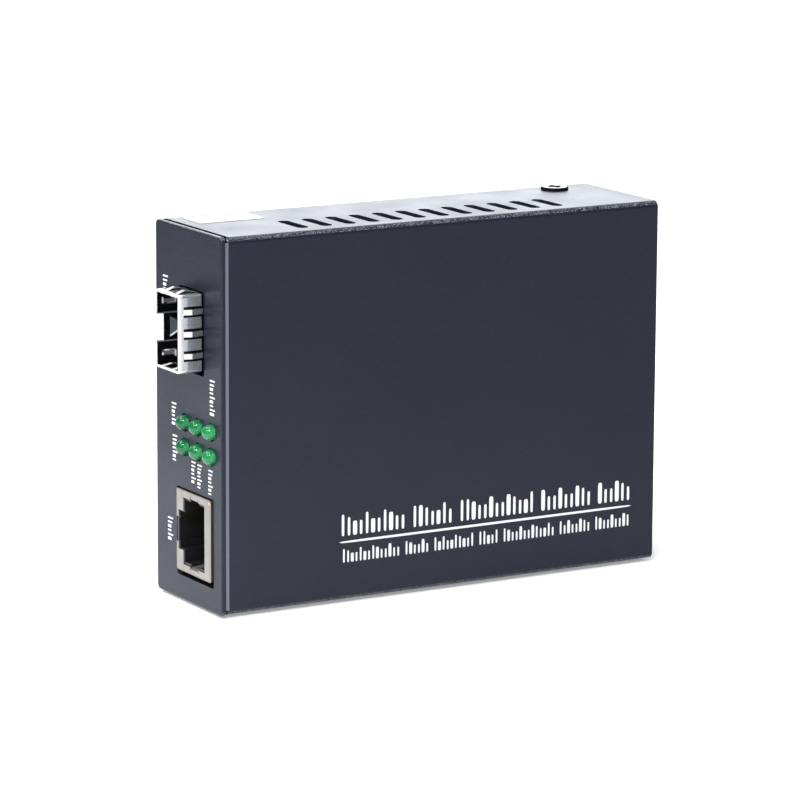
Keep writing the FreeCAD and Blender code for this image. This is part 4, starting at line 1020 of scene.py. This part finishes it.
def floor_finish(stage):
    """A pale matt floor, clear from below. Glossy surfaces see painted pools of light on it, and painted
    shade behind the converter. What the camera sees of it is lifted towards the backdrop, and the converter's
    shadow stays on it."""
    finish = Finish("pale_floor", {"Roughness": 0.9, "Specular IOR Level": 0.1})
    tree = finish.tree
    rays = add_node(tree, "LightPath").outputs
    lit = ramp(tree, axes(tree, finish.place)["Y"], *FLOOR_BACK_SHADE, stage.room, stage.room * BACK_SHARE)
    for spot, reach, strength in PAINTED_FLOOR_LIGHT:
        away = vectors(tree, "DISTANCE", finish.place, spot)
        lit = maths(tree, "ADD", ramp(tree, away, *reach, stage.sweep * strength, 0.0), lit)
    share_seen = blend(tree, rays["Is Glossy Ray"], 1.0, lit)
    cool = blend_colours(tree, rays["Is Glossy Ray"], WHITE, stage.glint)
    tinted = vectors(tree, "MULTIPLY", finish.vary(stage.floor, 0.01, 0.4), cool)
    finish.feed("Base Color", vectors(tree, "MULTIPLY", tinted, share_seen))
    seen = maths(tree, "MAXIMUM", rays["Is Camera Ray"], rays["Is Transmission Ray"])
    lift = add_node(tree, "Emission", {"Color": (*WHITE, 1.0),
                                       "Strength": times(tree, seen, FLOOR_LIFT)})
    added = add_node(tree, "AddShader", {0: finish.shader.outputs[0], 1: lift.outputs[0]})
    clear = add_node(tree, "BsdfTransparent")
    side = add_node(tree, "NewGeometry").outputs["Backfacing"]
    mixed = add_node(tree, "MixShader", {0: side, 1: added.outputs[0], 2: clear.outputs[0]})
    tree.links.new(mixed.outputs[0], tree.nodes["Material Output"].inputs["Surface"])
    return finish.material


def studio_world(stage):
    """White for the camera; for glossy rays a bright screen behind the converter in a dim room; for
    diffuse rays an even soft light."""
    world = bpy.data.worlds.new("studio")
    bpy.context.scene.world = world
    world.use_nodes = True
    tree = world.node_tree
    behind = vectors(tree, "DOT_PRODUCT", add_node(tree, "TexCoord").outputs["Object"], SCREEN_WAY)
    screen = ramp(tree, behind, *SCREEN_REACH, stage.ceiling, stage.screen)
    rays = add_node(tree, "LightPath").outputs
    white = maths(tree, "MAXIMUM", rays["Is Camera Ray"], rays["Is Transmission Ray"])
    soft = blend(tree, rays["Is Glossy Ray"], stage.ambient, screen)
    background = tree.nodes["Background"].inputs
    tree.links.new(blend(tree, white, soft, stage.backdrop), background["Strength"])
    tree.links.new(blend_colours(tree, white, stage.glint, WHITE), background["Color"])


def soft_box(name, place, aim, size, power):
    """A square lamp that faces a point and stays out of the camera's sight."""
    lamp = bpy.data.lights.new(name, "AREA")
    lamp.size = size
    lamp.energy = power
    holder = add_object(name, lamp)
    turn = (Vector(aim) - Vector(place)).to_track_quat("-Z", "Y")
    holder.matrix_world = Matrix.Translation(place) @ turn.to_matrix().to_4x4()
    holder.visible_camera = False


def add_floor(stage):
    """A square floor just under the converter."""
    half = stage.floor_size / 2
    drop = cad_low[2] - FLOOR_DROP
    mesh = bpy.data.meshes.new("floor")
    mesh.from_pydata([(-half, -half, drop), (half, -half, drop), (half, half, drop), (-half, half, drop)],
                     [], [(0, 1, 2, 3)])
    mesh.materials.append(floor_finish(stage))
    floor = add_object("floor", mesh)


def add_camera(stage):
    """The camera, turned about Z, then down, then about its view."""
    lens = bpy.data.cameras.new("camera")
    lens.lens = stage.lens
    lens.sensor_width = 36.0
    lens.clip_start, lens.clip_end = 0.05, 50.0
    camera = add_object("camera", lens)
    turn = (Matrix.Rotation(stage.heading, 3, "Z")
            @ Matrix.Rotation(math.pi / 2 - stage.height_angle, 3, "X")
            @ Matrix.Rotation(stage.roll, 3, "Z"))
    camera.matrix_world = Matrix.Translation(stage.place) @ turn.to_4x4()
    bpy.context.scene.camera = camera


class CONVERTER_OT_stage(bpy.types.Operator):
    """Lay the floor, light the studio and set up the camera."""
    bl_idname = "converter.stage"
    bl_label = "Set the stage"

    def execute(self, context):
        stage = settings().stage
        context.scene.view_settings.view_transform = "Standard"
        add_floor(stage)
        studio_world(stage)
        aim = (cad_low + cad_high) / 2
        for name, place, size, power in SOFT_BOXES:
            soft_box(name, place, aim, size, getattr(stage, power))
        add_camera(stage)
        return {"FINISHED"}


OPERATORS = (CONVERTER_OT_case, CONVERTER_OT_seam, CONVERTER_OT_print, CONVERTER_OT_ports, CONVERTER_OT_lamps,
             CONVERTER_OT_board, CONVERTER_OT_joints, CONVERTER_OT_stage)


class CONVERTER_PT_panel(bpy.types.Panel):
    """Buttons and settings of the converter."""
    bl_label = "Fibre media converter"
    bl_idname = "CONVERTER_PT_panel"
    bl_space_type = "VIEW_3D"
    bl_region_type = "UI"
    bl_category = "Converter"

    def draw(self, context):
        for operator in OPERATORS:
            self.layout.operator(operator.bl_idname)
        for part in ("case", "port", "board", "stage"):
            box = self.layout.box()
            group = getattr(context.scene.converter, part)
            for name in group.bl_rna.properties.keys():
                if name not in ("rna_type", "name"):
                    box.prop(group, name)


CLASSES = (CaseSettings, PortSettings, BoardSettings, StageSettings, ConverterSettings, *OPERATORS,
           CONVERTER_PT_panel)


def register():
    for made in CLASSES:
        bpy.utils.register_class(made)
    bpy.types.Scene.converter = PointerProperty(type=ConverterSettings)


def unregister():
    del bpy.types.Scene.converter
    for made in reversed(CLASSES):
        bpy.utils.unregister_class(made)


def main():
    """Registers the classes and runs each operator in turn."""
    register()
    for operator in OPERATORS:
        group, name = operator.bl_idname.split(".")
        getattr(getattr(bpy.ops, group), name)()


if __name__ == "__main__":
    main()
